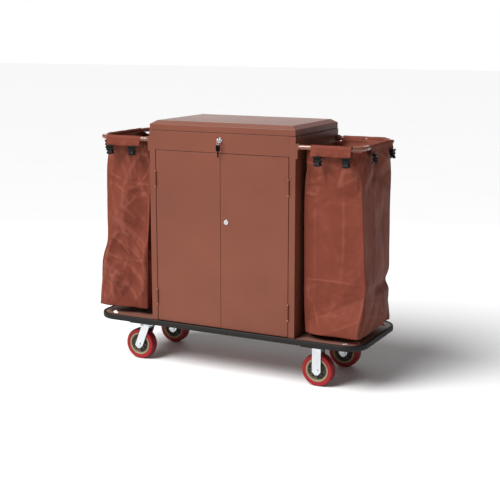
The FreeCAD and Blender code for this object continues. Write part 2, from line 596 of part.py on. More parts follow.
def make_lid():
    outer = lid_block("lid_outer", "0", lid_low, "0")
    inner = lid_block("lid_inner", "sheet", f"{lid_low} + sheet", "sheet")
    mouth_x = "cabinet_width / 2 - lid_inset - lip"
    mouth_y = "cabinet_depth / 2 - lid_inset - lip"
    mouth = slab("lid_mouth", (f"-({mouth_x})", mouth_x), (f"-({mouth_y})", mouth_y),
                 (f"{lid_low} - 1", f"{lid_low} + 2 * sheet"))
    node(less("lid_shell", outer, [inner, mouth]), "lid")

    buffers = [rod("buffer", "buffer_radius", "lid_gap", (
        f"{side} * (cabinet_width / 2 - lid_inset - lip / 2)",
        f"{face} * (cabinet_depth / 2 - buffer_in)", "cabinet_top"))
        for side, _ in SIDES for face, _ in FACES]
    node(together("buffers", buffers), "lid_buffers")

    hook_low = f"{LOCK_Z} - cam_width / 2 - 3"
    hook_top = f"{lid_low} + sheet + hook_sheet"
    tab_y = (f"{cam_y[1]} + hook_clear", f"{cam_y[1]} + hook_clear + hook_sheet")
    hook_x = ("-hook_far", "-hook_near")
    tab = slab("striker_tab", hook_x, tab_y, (hook_low, hook_top))
    foot = slab("striker_foot", hook_x, (f"{front} + lid_inset + sheet", tab_y[1]),
                (f"{lid_low} + sheet", hook_top))
    ledge = slab("striker_ledge", hook_x, (f"{cam_y[0]} + 0.4", tab_y[1]),
                 (hook_low, f"{hook_low} + hook_sheet"))
    node(joined("striker", [tab, foot, ledge]), "lid_striker")

    pitch = f"lid_hinge_length / {LID_KNUCKLES}"
    start = "-lid_hinge_length / 2"
    leaves = {"fixed": [slab("fixed_leaf", (start, "lid_hinge_length / 2"), (back, f"{back} + lid_leaf"),
                             ("cabinet_top - lid_leaf_drop", f"{lid_hinge_z} - lid_knuckle - 0.4"))],
              "moving": [slab("moving_leaf", (start, "lid_hinge_length / 2"),
                              (f"{back} - lid_inset", f"{back} - lid_inset + lid_leaf"),
                              (f"{lid_hinge_z} + lid_knuckle + 0.4", f"{lid_low} + lid_rim - 3"))]}
    for index in range(LID_KNUCKLES):
        kind = "fixed" if index % 2 == 0 else "moving"
        span = (f"{start} + {index} * {pitch} + 0.3", f"{start} + {index + 1} * {pitch} - 0.3")
        if kind == "fixed":
            web = slab("fixed_web", span, (back, f"{back} + lid_leaf"),
                       (f"{lid_hinge_z} - lid_knuckle - 0.4", lid_hinge_z))
        else:
            web = slab("moving_web", span, (f"{back} - lid_inset", f"{back} + 1.5"),
                       (f"{lid_hinge_z} + 1.5", f"{lid_hinge_z} + lid_knuckle + 1"))
        knuckle = rod(f"{kind}_knuckle", "lid_knuckle", f"({span[1]}) - ({span[0]})",
                      (span[0], lid_hinge_y, lid_hinge_z), "X")
        leaves[kind] += [web, knuckle]
    bore = rod("lid_bore", "lid_pin + fit", "lid_hinge_length + 2",
               (f"{start} - 1", lid_hinge_y, lid_hinge_z), "X")
    for kind, label in (("fixed", "lid_hinge_fixed_leaf"), ("moving", "lid_hinge_leaf")):
        node(less(f"{kind}_lid_leaf", joined(f"{kind}_lid_solid", leaves[kind]), [bore]), label)
    node(rod("lid_pin_rod", "lid_pin", "lid_hinge_length",
             (start, lid_hinge_y, lid_hinge_z), "X"), "lid_hinge_pin")


# ---- bag frames and bags ----------------------------------------------------------------------

def bent_tube(name, radius):
    """A U of round bar: two straight arms along X joined by bends and an end bar."""
    body = fresh("PartDesign::Body", name)
    path = plane_sketch(body, "XY_Plane", "tube_height")
    start, end, bend = number("cabinet_width / 2 + sheet"), number("tube_end"), number("tube_bend")
    half = number("tube_half_width")
    arcs = [quarter_arc(end - bend, bend - half, bend, -90), quarter_arc(end - bend, half - bend, bend, 0)]
    runs = [(FreeCAD.Vector(start, -half, 0), arcs[0].StartPoint), (arcs[0].EndPoint, arcs[1].StartPoint),
            (arcs[1].EndPoint, FreeCAD.Vector(start, half, 0))]
    for piece in (Part.LineSegment(*runs[0]), arcs[0], Part.LineSegment(*runs[1]), arcs[1],
                  Part.LineSegment(*runs[2])):
        path.addGeometry(piece, False)
    for i in range(4):
        path.addConstraint(Sketcher.Constraint("Tangent", i, 2, i + 1, 1))
    for line, kind in ((0, "Horizontal"), (2, "Vertical"), (4, "Horizontal")):
        path.addConstraint(Sketcher.Constraint(kind, line))
    path.addConstraint(Sketcher.Constraint("Equal", 1, 3))
    measure(path, "tube_bend", "Radius", 1)
    pin_point(path, 0, 1, "cabinet_width / 2 + sheet", "-tube_half_width")
    pin_point(path, 4, 2, "cabinet_width / 2 + sheet", "tube_half_width")
    measure(path, "tube_end", "DistanceX", -1, 1, 2, 1)
    ring = plane_sketch(body, "YZ_Plane", "cabinet_width / 2 + sheet")
    ring.addGeometry(Part.Circle(FreeCAD.Vector(-half, number("tube_height"), 0), Z_AXIS,
                                 number(radius)), False)
    measure(ring, radius, "Radius", 0)
    pin_point(ring, 0, 3, "-tube_half_width", "tube_height")
    pipe = body.newObject("PartDesign::AdditivePipe", f"{name}_pipe")
    pipe.Profile = ring
    pipe.Spine = (path, [f"Edge{i + 1}" for i in range(5)])
    return body


def frame_bracket(face):
    """A socket for one end of a tube frame: base plate, front wing and collar, on the right side."""
    z = ("tube_height - bracket_height / 2 - bracket_drop",
         "tube_height + bracket_height / 2 - bracket_drop")
    wall = (half_width, f"{half_width} + sheet")
    y = f"{face} * tube_half_width"
    base = slab("bracket_base", wall, (front, f"{y} + bracket_inset") if face < 0 else
                (f"{y} - bracket_inset", back), z)
    edge = front if face < 0 else f"{back} - sheet"
    wing = plate("bracket_wing", "XZ_Plane", [(half_width, z[0]), (f"{half_width} + bracket_wing", z[0]),
                 (f"{half_width} + bracket_wing", f"{z[1]} - bracket_wing * 1.4"),
                 (half_width, z[1])], (edge, f"{edge} + sheet"))
    collar = rod("bracket_collar", "collar_radius", "collar_length",
                 (half_width, y, "tube_height"), "X")
    trim = slab("collar_trim", (half_width, f"{half_width} + collar_length + 1"),
                (f"{front} - 10", front) if face < 0 else (back, f"{back} + 10"),
                ("tube_height - 20", "tube_height + 20"))
    bore = rod("bracket_bore", "tube_radius + fit", "collar_length + 2",
               (f"{half_width} + sheet", y, "tube_height"), "X")
    return less("bracket", joined("bracket_solid", [base, wing, collar]), [bore, trim])


def bag_shell():
    """The right bag: a sewn box that widens at the top to hang inside the tube."""
    top = "tube_height + tube_radius + bag_room"
    shells = []
    for kind, wall, floor in (("outer", "0", "bag_bottom"), ("inner", "bag_cloth",
                                                            "bag_bottom + bag_cloth")):
        low_x = (f"bag_inner + {wall}", f"bag_outer - {wall}")
        low_y = (f"-(bag_half_depth - {wall})", f"bag_half_depth - {wall}")
        reach = f"tube_end - tube_radius - bag_room - {wall}"
        high_x = (f"bag_inner + {wall}", reach)
        high_half = f"tube_half_width - tube_radius - bag_room - {wall}"
        high_y = (f"-({high_half})", high_half)
        corner = f"bag_corner - {wall}"
        box = round_block(f"bag_{kind}_box", low_x, low_y, (floor, BAG_SHOULDER), corner)
        neck = fresh("PartDesign::Body", f"bag_{kind}_neck")
        lower = plane_sketch(neck, "XY_Plane", BAG_SHOULDER)
        round_outline(lower, low_x, low_y, corner)
        upper = plane_sketch(neck, "XY_Plane", "tube_height - tube_radius")
        round_outline(upper, high_x, high_y, f"tube_bend - tube_radius - {wall}")
        loft = neck.newObject("PartDesign::AdditiveLoft", f"bag_{kind}_loft")
        loft.Profile = lower
        loft.Sections = [upper]
        rise = "0" if kind == "outer" else "1"
        collar = round_block(f"bag_{kind}_collar", high_x, high_y,
                             ("tube_height - tube_radius", f"{top} + {rise}"),
                             f"tube_bend - tube_radius - {wall}")
        shells.append(joined(f"bag_{kind}", [box, neck, collar]))
    flaps = []
    outside = "tube_radius + bag_room"
    drop = ("tube_height - flap_drop", f"{top} + bag_cloth")
    roof = (top, f"{top} + bag_cloth")
    for face, _ in FACES:
        edge = f"tube_half_width + {outside}"
        wall_y = (edge, f"{edge} + bag_cloth")
        roof_y = (f"tube_half_width - {outside} - bag_cloth", f"{edge} + bag_cloth")
        if face < 0:
            wall_y = (f"-({wall_y[1]})", f"-({wall_y[0]})")
            roof_y = (f"-({roof_y[1]})", f"-({roof_y[0]})")
        flaps.append(slab("flap_wall", ("flap_near", "flap_far"), wall_y, drop))
        flaps.append(slab("flap_roof", ("flap_near", "flap_far"), roof_y, roof))
    end = f"tube_end + {outside}"
    flaps.append(slab("flap_wall", (end, f"{end} + bag_cloth"), ("-flap_end", "flap_end"), drop))
    flaps.append(slab("flap_roof", (f"tube_end - {outside} - bag_cloth", f"{end} + bag_cloth"),
                      ("-flap_end", "flap_end"), roof))
    return less("bag", joined("bag_solid", [shells[0]] + flaps), [shells[1]])


def bag_clips():
    """Spring clips that bite the hem of each flap."""
    hem = "tube_height - flap_drop"
    z = (f"{hem} - clip_height * 0.75", f"{hem} + clip_height * 0.25")
    standoff = "tube_radius + 2 * bag_room + bag_cloth"
    clips = []
    for face, _ in FACES:
        edge = f"tube_half_width + {standoff}"
        y = (edge, f"{edge} + clip_depth / 2")
        y = y if face > 0 else (f"-({y[1]})", f"-({y[0]})")
        for middle in ("flap_near + clip_inset", "flap_far - clip_inset"):
            clips.append(slab("clip", (f"{middle} - clip_width / 2", f"{middle} + clip_width / 2"), y, z))
    for face, _ in FACES:
        middle = f"{face} * (flap_end - clip_inset)"
        end = f"tube_end + {standoff}"
        clips.append(slab("clip", (end, f"{end} + clip_depth / 2"),
                          (f"{middle} - clip_width / 2", f"{middle} + clip_width / 2"), z))
    return together("clips", clips)


def make_bags():
    tube = less("frame_tube", bent_tube("tube_outside", "tube_radius"),
                [bent_tube("tube_inside", "tube_radius - tube_wall")])
    brackets = [frame_bracket(face) for face, _ in FACES]
    rivets = [rod("rivet", "rivet_head", "rivet_rise", (f"{half_width} + sheet",
                                                        f"{face} * (tube_half_width - 2)", z), "X")
              for face, _ in FACES for z in ("tube_height - rivet_high", "tube_height - rivet_low")]
    bag = bag_shell()
    clips = bag_clips()
    pairs = (("bag_frame", tube), ("bag", bag), ("bag_clips", clips))
    for label, source in pairs:
        node(mirrored(f"left_{label}_mirror", source, X_AXIS), f"left_{label}")
        node(source, f"right_{label}")
    both = [together("right_brackets", brackets)]
    both.append(mirrored("left_brackets", both[0], X_AXIS))
    node(together("brackets", both), "bag_frame_brackets")
    right_rivets = together("right_rivets", rivets)
    node(together("rivets", [right_rivets, mirrored("left_rivets", right_rivets, X_AXIS)]),
         "bracket_rivets")


# ---- casters ----------------------------------------------------------------------------------

leg_near = "hub_width / 2 + hub_play"
leg_far = "hub_width / 2 + hub_play + leg_sheet"


def leg_outline(shift, top):
    """Side view of one fork leg: a bar that leans back by the trail and ends in a blunt point."""
    low = "wheel_radius - leg_tip"
    return [("-leg_width / 2", top), (f"-leg_width / 2 - {shift}", "wheel_radius - leg_tip * 0.3"),
            (f"-leg_width / 6 - {shift}", low), (f"leg_width / 6 - {shift}", low),
            (f"leg_width / 2 - {shift}", "wheel_radius - leg_tip * 0.3"), ("leg_width / 2", top)]


def fork_legs(name, shift, top, x, y):
    legs = []
    for face, _ in FACES:
        span = (leg_near, leg_far) if face > 0 else (f"-({leg_far})", f"-({leg_near})")
        leg = plate(f"{name}_leg", "XZ_Plane", leg_outline(shift, top), span)
        legs.append(put(leg, (x, y, "0")))
    return legs


def caster_axle(name, x, y):
    """Axle bolt along Y: head, shank and nut."""
    reach = leg_far
    head, nut, tail = (f"{reach} + {more}" for more in ("axle_head_depth", "axle_nut_depth", "axle_tail"))
    points = [("0", f"-({head})"), ("axle_head", f"-({head})"), ("axle_head", f"-({reach})"),
              ("axle_radius", f"-({reach})"), ("axle_radius", reach), ("axle_nut", reach),
              ("axle_nut", nut), ("axle_radius", nut), ("axle_radius", tail), ("0", tail)]
    return turned(name, points, (x, y, "wheel_radius"), "Y")


def wheel(prefix, x, y):
    """A red tyre moulded on a core with a dished web and a hub that turns on the axle."""
    half = "tread_width / 2"
    tyre = [("rim_radius", f"-{half}"), ("wheel_radius - 5", f"-{half}"),
            ("wheel_radius - 1.5", f"-({half} - 3.5)"), ("wheel_radius", f"-({half} - 9)"),
            ("wheel_radius", f"{half} - 9"), ("wheel_radius - 1.5", f"{half} - 3.5"),
            ("wheel_radius - 5", half), ("rim_radius", half)]
    node(turned(f"{prefix}_tyre_solid", tyre, (x, y, "wheel_radius"), "Y"), f"{prefix}_tyre")
    rim_in = "rim_radius - rim_wall"
    upper = [("rim_radius", half), (rim_in, half), (f"{rim_in} - 2", "web_width / 2"),
             ("hub_radius + 2", "web_width / 2"), ("hub_radius", "hub_width / 2"),
             ("axle_radius + fit", "hub_width / 2")]
    core = upper + [(r, f"-({z})") for r, z in reversed(upper)]
    node(turned(f"{prefix}_core_solid", core, (x, y, "wheel_radius"), "Y"), f"{prefix}_wheel_core")


def caster_plate(name, x, y):
    """The plate under the deck, drilled for its bolts."""
    block = round_block(f"{name}_block", ("-plate_length / 2", "plate_length / 2"),
                        ("-plate_width / 2", "plate_width / 2"),
                        (f"{CASTER_TOP} - plate_sheet", CASTER_TOP), "8")
    put(block, (x, y, "0"))
    holes = [rod(f"{name}_hole", "bolt_radius + bolt_play", "3 * plate_sheet",
                 (hx, hy, f"{CASTER_TOP} - 2 * plate_sheet")) for hx, hy in bolt_places(x, y)]
    return block, holes


def make_casters():
    plate_under = f"{CASTER_TOP} - plate_sheet"
    race_low = f"{plate_under} - race_height"
    crown_top = f"{race_low} - race_gap"
    swivel_plates = []
    kingpins = []
    fixed_axles = []
    for face, word in FACES:
        y = f"{face} * caster_half_track"
        x = "fixed_at"
        block, holes = caster_plate("fixed_plate", x, y)
        legs = fork_legs("fixed", "0", plate_under, x, y)
        crown = slab("fixed_crown", (f"{x} - leg_width / 2", f"{x} + leg_width / 2"),
                     (f"{y} - ({leg_far})", f"{y} + {leg_far}"),
                     (f"{plate_under} - leg_sheet", plate_under))
        eye = rod("fixed_eye", "axle_radius + fit", f"2 * ({leg_far}) + 2",
                  (x, f"{y} - ({leg_far}) - 1", "wheel_radius"), "Y")
        node(less(f"{word}_fixed", joined(f"{word}_fixed_solid", [block, crown] + legs), holes + [eye]),
             f"{word}_fixed_fork")
        fixed_axles.append(caster_axle("fixed_axle", x, y))
        wheel(f"{word}_fixed", x, y)

        x = "-swivel_at"
        block, holes = caster_plate("swivel_plate", x, y)
        race = rod("race", "race_radius", "race_height", (x, y, race_low))
        king_hole = rod("king_hole", "kingpin_radius + fit", "race_height + 2 * plate_sheet",
                        (x, y, f"{race_low} - 1"))
        swivel_plates.append(less("swivel_mount", joined("swivel_mount_solid", [block, race]),
                                  holes + [king_hole]))
        kingpins.append(turned("kingpin", [
            ("0", f"{crown_top} - 2.5 * race_height"),
            ("kingpin_head", f"{crown_top} - 2.5 * race_height"),
            ("kingpin_head", f"{crown_top} - 1.6 * race_height"),
            ("kingpin_radius", f"{crown_top} - 1.6 * race_height"),
            ("kingpin_radius", CASTER_TOP), ("0", CASTER_TOP)], (x, y, "0")))
        crown_low = f"{crown_top} - race_height * 1.5"
        dish = rod("swivel_dish", "race_radius - 2", "race_height", (x, y, f"{crown_top} - race_height"))
        crown = slab("swivel_crown", (f"{x} - race_radius", f"{x} + leg_width / 2"),
                     (f"{y} - ({leg_far})", f"{y} + {leg_far}"), (crown_low, f"{crown_top} - race_height"))
        legs = fork_legs("swivel", "trail", f"{crown_top} - race_height", x, y)
        king_bore = rod("king_bore", "kingpin_radius + fit", "4 * race_height",
                        (x, y, f"{crown_top} - 3 * race_height"))
        eye = rod("swivel_eye", "axle_radius + fit", f"2 * ({leg_far}) + 2",
                  (f"{x} - trail", f"{y} - ({leg_far}) - 1", "wheel_radius"), "Y")
        node(less(f"{word}_swivel", joined(f"{word}_swivel_solid", [dish, crown] + legs),
                  [king_bore, eye]), f"{word}_swivel_fork")
        node(caster_axle("swivel_axle", f"{x} - trail", y), f"{word}_swivel_axle")
        wheel(f"{word}_swivel", f"{x} - trail", y)
    node(together("swivel_mounts", swivel_plates), "swivel_plates")
    node(together("king_pins", kingpins), "kingpins")
    node(together("axles", fixed_axles), "fixed_axles")

    bolts = []
    for place in ("-swivel_at", "fixed_at"):
        for face, _ in FACES:
            for x, y in bolt_places(place, f"{face} * caster_half_track"):
                head = f"{plate_under} - bolt_head_depth"
                nut = f"{CASTER_TOP} + member_wall"
                top = f"{nut} + bolt_head"
                bolts.append(turned("bolt", [("0", head), ("bolt_head", head), ("bolt_head", plate_under),
                             ("bolt_radius", plate_under), ("bolt_radius", nut), ("bolt_head", nut),
                             ("bolt_head", top), ("0", top)], (x, y, "0")))
    node(together("plate_bolts", bolts), "caster_bolts")


make_deck()
make_cabinet()
make_doors()
make_locks()
make_lid()
make_bags()
make_casters()
sheet.clear("D1")
doc.recompute()

# ---- checks and export ------------------------------------------------------------------------

broken = [thing.Name for thing in doc.Objects if {"Invalid", "Error"} & set(thing.State)]
if broken:
    raise RuntimeError(f"objects that failed to build: {broken}")
os.makedirs("parts", exist_ok=True)
for part in nodes:
    shape = part.Shape
    if shape.isNull() or not shape.isValid() or not shape.Solids:
        raise RuntimeError(f"{part.Label} has no valid solid")
for part in nodes:
    part.Shape.exportStep(f"parts/{part.Label}.step")
    box = part.Shape.BoundBox
    print(f"{part.Label:26s} solids {len(part.Shape.Solids):2d}  volume {part.Shape.Volume / 1000:9.2f} cm3"
          f"  x {box.XMin:7.1f} {box.XMax:7.1f}  y {box.YMin:7.1f} {box.YMax:7.1f}"
          f"  z {box.ZMin:7.1f} {box.ZMax:7.1f}")
print(f"{len(nodes)} sub-parts")
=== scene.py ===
# %% [markdown]
# # Housekeeping cart
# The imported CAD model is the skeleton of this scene: it says where every part is and how it moves.
# Here the cart gets its looks. Folded steel gets rounded edges and powder coat, and the soft or
# moulded parts, which CAD only holds as plain blocks, are made again as surfaces.
# %% Load the frame
import json
import math
import bmesh
import bpy
import numpy as np
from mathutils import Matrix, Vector

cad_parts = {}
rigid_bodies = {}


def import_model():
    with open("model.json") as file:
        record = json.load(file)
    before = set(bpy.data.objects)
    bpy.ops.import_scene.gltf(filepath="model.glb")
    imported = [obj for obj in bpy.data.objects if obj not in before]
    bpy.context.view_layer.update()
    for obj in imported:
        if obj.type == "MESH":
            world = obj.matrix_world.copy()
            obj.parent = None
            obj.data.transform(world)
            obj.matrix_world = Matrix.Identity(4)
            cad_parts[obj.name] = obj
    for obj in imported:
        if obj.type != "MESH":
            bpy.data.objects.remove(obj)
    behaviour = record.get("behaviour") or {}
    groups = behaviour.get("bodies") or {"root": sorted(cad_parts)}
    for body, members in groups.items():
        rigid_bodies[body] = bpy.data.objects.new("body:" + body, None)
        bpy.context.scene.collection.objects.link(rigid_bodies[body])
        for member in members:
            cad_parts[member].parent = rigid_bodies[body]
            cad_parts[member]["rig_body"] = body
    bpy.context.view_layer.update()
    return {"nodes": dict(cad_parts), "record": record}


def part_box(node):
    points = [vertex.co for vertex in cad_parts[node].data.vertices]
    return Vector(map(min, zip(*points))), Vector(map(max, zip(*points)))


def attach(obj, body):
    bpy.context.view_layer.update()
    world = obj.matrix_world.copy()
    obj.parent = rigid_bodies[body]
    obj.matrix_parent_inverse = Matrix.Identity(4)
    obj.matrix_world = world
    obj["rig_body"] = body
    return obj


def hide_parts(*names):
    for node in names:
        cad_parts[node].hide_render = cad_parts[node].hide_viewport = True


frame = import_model()
NODES = frame["nodes"]
SLOT_OF = {part["node"]: part["material_slot"] for part in frame["record"]["subparts"]}
MM = 0.001

# %% [markdown]
# ## Node helpers
# A Blender material is a small graph. Each node has properties, such as a noise's dimensions, and
# sockets, such as its scale. One function adds any node, so each material below reads as a list
# of what feeds what. Colours are written as sRGB hex values, but Blender works in linear light,
# so one function converts them.
# %% Add a node, convert a colour
MIX_A, MIX_B, MIXED = 6, 7, 2  # a colour Mix node's sockets go by number, as its names repeat


def linear(hex_colour):
    """sRGB hex to linear RGBA: below 0.04045 a straight line, above it a 2.4 power."""
    levels = np.array([int(hex_colour[i:i + 2], 16) / 255 for i in (1, 3, 5)])
    low, high = levels / 12.92, ((levels + 0.055) / 1.055) ** 2.4
    return [*np.where(levels <= 0.04045, low, high).tolist(), 1.0]


def add_node(tree, kind, sockets=None, stops=(), **properties):
    """Adds one ShaderNode. A socket's value is a plain value, or an output to link to it.
    `stops` are the pairs of position and hex colour of a node that holds a colour ramp."""
    made = tree.nodes.new(f"ShaderNode{kind}")
    for name, value in properties.items():
        setattr(made, name, value)
    for name, value in (sockets or {}).items():
        if isinstance(value, bpy.types.NodeSocket):
            tree.links.new(value, made.inputs[name])
        else:
            made.inputs[name].default_value = value
    for _ in stops[2:]:  # a new ramp comes with two stops
        made.color_ramp.elements.new(0.5)
    for number, (position, colour) in enumerate(stops):
        made.color_ramp.elements[number].position = position
        made.color_ramp.elements[number].color = linear(colour)
    return made


# %% [markdown]
# ## Finishes
# Nearly every finish here is the same idea at different sizes: a colour that drifts a little over
# large patches, and a fine grain that raises the surface and changes its gloss. One function makes
# that graph and hands its parts back, so that a special finish can add to it. Noise scale is one
# over the size of a patch, so sizes are given in real millimetres.
# %% The common finish
def finish(name, tones, patch, grain, depth, rough, metallic=0.0, stretch=(1, 1, 1), uv=False,
           top_sheen=0.0, specular=0.5, **shader):
    """A Principled shader. Colour mixes two tones over `patch` mm, and noise of `grain` mm moves the
    roughness between two values and the surface by `depth` mm. Faces that look up can be lightened
    towards a pale pink grey, as painted sheen."""
    material = bpy.data.materials.new(name)
    material.use_nodes = True
    tree = material.node_tree
    tree.nodes.clear()
    place = add_node(tree, "TexCoord").outputs["UV" if uv else "Object"]
    scaled = add_node(tree, "Mapping", {"Vector": place, "Scale": stretch}).outputs[0]
    cloud = add_node(tree, "TexNoise", {"Vector": scaled, "Scale": 1000 / patch, "Detail": 5.0,
                                        "Roughness": 0.6}).outputs[0]
    fine = add_node(tree, "TexNoise", {"Vector": scaled, "Scale": 1000 / grain,
                                       "Detail": 2.0}).outputs[0]
    spread = add_node(tree, "MapRange", {"Value": cloud, "From Min": 0.3, "From Max": 0.7})
    colour = add_node(tree, "Mix", {0: spread.outputs[0], MIX_A: linear(tones[0]),
                                    MIX_B: linear(tones[1])}, data_type="RGBA").outputs[MIXED]
    gloss = add_node(tree, "Math", {0: cloud, 1: fine}, operation="MULTIPLY").outputs[0]
    roughness = add_node(tree, "MapRange", {"Value": gloss, "From Min": 0.1, "From Max": 0.4,
                                            "To Min": rough[0], "To Max": rough[1]}).outputs[0]
    bump = add_node(tree, "Bump", {"Strength": 1.0, "Distance": depth * MM,
                                   "Height": fine}).outputs[0]
    surface = add_node(tree, "BsdfPrincipled",
                       {"Base Color": colour, "Metallic": metallic, "Roughness": roughness,
                        "Normal": bump, "Specular IOR Level": specular, **shader})
    add_node(tree, "OutputMaterial", {"Surface": surface.outputs[0]})
    if top_sheen:  # painted sheen on faces that look up: the normal's Z, above a threshold, lightens them
        normal = add_node(tree, "NewGeometry").outputs["Normal"]
        up = add_node(tree, "SeparateXYZ", {0: normal}).outputs[2]
        sheen_on_top = add_node(tree, "MapRange", {"Value": up, "From Min": 0.5, "From Max": 1.0,
                                              "To Max": top_sheen}).outputs[0]
        broken = add_node(tree, "Math", {0: sheen_on_top, 1: cloud}, operation="MULTIPLY").outputs[0]
        # the pale pink grey of the painted sheen
        sheened = add_node(tree, "Mix", {0: broken, MIX_A: colour, MIX_B: linear("#b9a8a0")},
                         data_type="RGBA")
        tree.links.new(sheened.outputs[MIXED], surface.inputs["Base Color"])
    return {"material": material, "tree": tree, "surface": surface, "place": place, "bump": bump,
            "colour": colour}


# %% [markdown]
# ### Painted steel
# The cabinet is folded steel sheet with polyester powder coat: powder melts to a skin with a fine
# orange peel, so its highlights are satin and slightly broken. The tube frames have a wet enamel,
# smoother and glossier, and the members under the deck only black primer. The grain of real
# powder coat is under 1 mm; it is drawn at 3 mm so that it shows at arm's length.
# %% Powder coat, tube enamel, primer
FINISHES = {
    # the powder coat is lightened a little on faces that look up, as painted sheen
    "brown_enamel": finish("polyester_powder_coat", ("#76412f", "#6b392a"), patch=420, grain=3,
                           depth=0.05, rough=(0.36, 0.5), top_sheen=0.25, specular=0.32)["material"],
    "tube_enamel": finish("wet_tube_enamel", ("#7c4632", "#703e2c"), patch=260, grain=6, depth=0.04,
                          rough=(0.16, 0.26), IOR=1.52, **{"Coat Weight": 0.5})["material"],
    "dark_enamel": finish("black_primer", ("#141211", "#1b1817"), patch=160, grain=4, depth=0.08,
                          rough=(0.5, 0.66), specular=0.3)["material"],
}

# %% [markdown]
# ### Metals
# Bright zinc plate on pressed casters is pale, a little cloudy and finely brushed. Chrome plate on
# the locks is a near mirror. The hinge pins are turned brass. A metal's colour is its reflection,
# so these stay at metallic 1 with the default IOR, and grain only changes how blurred they are.
# %% Zinc, chrome and brass
FINISHES["zinc"] = finish("bright_zinc_plate", ("#e6e9ec", "#cfd4d8"), patch=30, grain=2, depth=0.03,
                          rough=(0.24, 0.4), metallic=1.0, stretch=(1, 1, 0.25))["material"]
FINISHES["chrome"] = finish("chrome_plate", ("#dcdfe2", "#cdd1d5"), patch=20, grain=2, depth=0.01,
                            rough=(0.08, 0.18), metallic=1.0)["material"]
FINISHES["brass"] = finish("turned_brass", ("#e6bd6a", "#c99b4a"), patch=12, grain=1.5, depth=0.02,
                           rough=(0.2, 0.34), metallic=1.0)["material"]

# %% [markdown]
# ### Rubber and plastics
# The bumper is extruded EPDM rubber: matt, with faint lines along its length, so its noise is
# stretched along the piece's own UV map. Clips and catches are moulded black nylon. The tyres are
# cast red polyurethane, painted darker at the bead and on the tread, as shade. The core is moulded
# nylon with an olive lip where the tyre is bonded; its dish is painted darker, as shade in the
# recess. Both wheels' parts read the UV map's second number, the radius in metres, so the colour
# follows the wheel as it turns.
# %% Rubber, nylon, polyurethane
FINISHES["black_rubber"] = finish("epdm_rubber", ("#151312", "#1c1918"), patch=60, grain=5,
                                  depth=0.12, rough=(0.5, 0.68), stretch=(0.08, 1, 1), uv=True,
                                  specular=0.25)["material"]
FINISHES["black_plastic"] = finish("moulded_black_nylon", ("#060606", "#0b0a0a"), patch=20, grain=1.5,
                                   depth=0.04, rough=(0.4, 0.56), specular=0.12)["material"]


def colour_and_shade_by_radius(made, stops, largest):
    """Replaces a finish's colour with bands by radius, kept mottled by its own noise. The bands hold
    the part's own colours and its painted shade.
    """
    tree = made["tree"]
    radius = add_node(tree, "SeparateXYZ", {0: made["place"]}).outputs[1]
    share = add_node(tree, "Math", {0: radius, 1: largest}, operation="DIVIDE").outputs[0]
    bands = add_node(tree, "ValToRGB", {0: share}, stops).outputs[0]
    mottled = add_node(tree, "Mix", {0: 0.35, MIX_A: bands, MIX_B: made["colour"]},
                       data_type="RGBA")
    tree.links.new(mottled.outputs[MIXED], made["surface"].inputs["Base Color"])
    return made["material"]


wheel_low, wheel_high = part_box("front_fixed_tyre")
WHEEL_RADIUS = (wheel_high.z - wheel_low.z) / 2
FINISHES["red_polyurethane"] = colour_and_shade_by_radius(
    finish("cast_red_polyurethane", ("#86141a", "#731015"), patch=14, grain=3, depth=0.1,
           rough=(0.4, 0.58), uv=True, specular=0.3),
    # painted shade: darker at the bead, where the tyre meets the core, and on the tread
    [(0.70, "#6c1318"), (0.80, "#a0161d"), (0.93, "#93121a"), (0.985, "#6d0e14")], WHEEL_RADIUS)
FINISHES["wheel_core"] = colour_and_shade_by_radius(
    finish("moulded_grey_nylon", ("#4a4538", "#3a372e"), patch=12, grain=2, depth=0.06,
           rough=(0.42, 0.6), uv=True),
    # painted shade: the dish darkens towards the lip, as shade in the recess; the olive lip is the
    # core's own colour
    [(0.10, "#8d8f8c"), (0.28, "#4b4a42"), (0.56, "#2f2f2a"), (0.63, "#a39670")], WHEEL_RADIUS)

# %% [markdown]
# ### Bag cloth
# The bags are woven nylon with a thin coating. Threads lie about 0.5 mm apart, which is drawn at
# 1.6 mm to show at all. Two wave textures at right angles make the weave, in the piece's own UV map
# in metres, so threads follow the cloth round every corner. Sharp creases wear pale, and folds are
# painted darker, as shade: each piece carries an attribute of wear and painted shade worked out from
# its own shape, and the colour reads it. On the flaps that attribute holds painted light and shade
# on the ripples and painted shade along the stitches.
# %% Woven nylon
THREAD = 1.6 * MM
WAVE_TURN = 2 * math.pi / 20  # a Wave texture of scale 1 repeats at this distance
WEAR_AND_SHADE_SHARE = 0.22  # how far the colours of wear and painted shade replace the cloth's own

cloth = finish("woven_coated_nylon", ("#753b2d", "#673225"), patch=120, grain=7, depth=0.25,
               rough=(0.5, 0.68), uv=True, specular=0.1)
tree = cloth["tree"]
threads = [add_node(tree, "TexWave", {"Vector": cloth["place"], "Scale": WAVE_TURN / THREAD,
                                      "Distortion": 0.6, "Detail": 1.0},
                    wave_type="BANDS", bands_direction=direction).outputs["Fac"]
           for direction in ("X", "Y")]
weave = add_node(tree, "Math", {0: threads[0], 1: threads[1]}, operation="MULTIPLY").outputs[0]
weave_bump = add_node(tree, "Bump", {"Strength": 0.5, "Distance": 0.15 * MM, "Height": weave,
                                     "Normal": cloth["bump"]})
wear_and_shade = add_node(tree, "Attribute", attribute_name="wear_and_shade").outputs["Fac"]
# pale on worn ridges, painted shade in the folds
shaded = add_node(tree, "ValToRGB", {0: wear_and_shade},
                  [(0.0, "#4a2219"), (0.5, "#72382a"), (1.0, "#a8675a")]).outputs[0]
worn_and_shaded = add_node(tree, "Mix", {0: WEAR_AND_SHADE_SHARE, MIX_A: cloth["colour"], MIX_B: shaded},
                data_type="RGBA")
tree.links.new(worn_and_shaded.outputs[MIXED], cloth["surface"].inputs["Base Color"])
tree.links.new(weave_bump.outputs[0], cloth["surface"].inputs["Normal"])
FINISHES["bag_cloth"] = cloth["material"]
print("finishes", sorted(FINISHES))

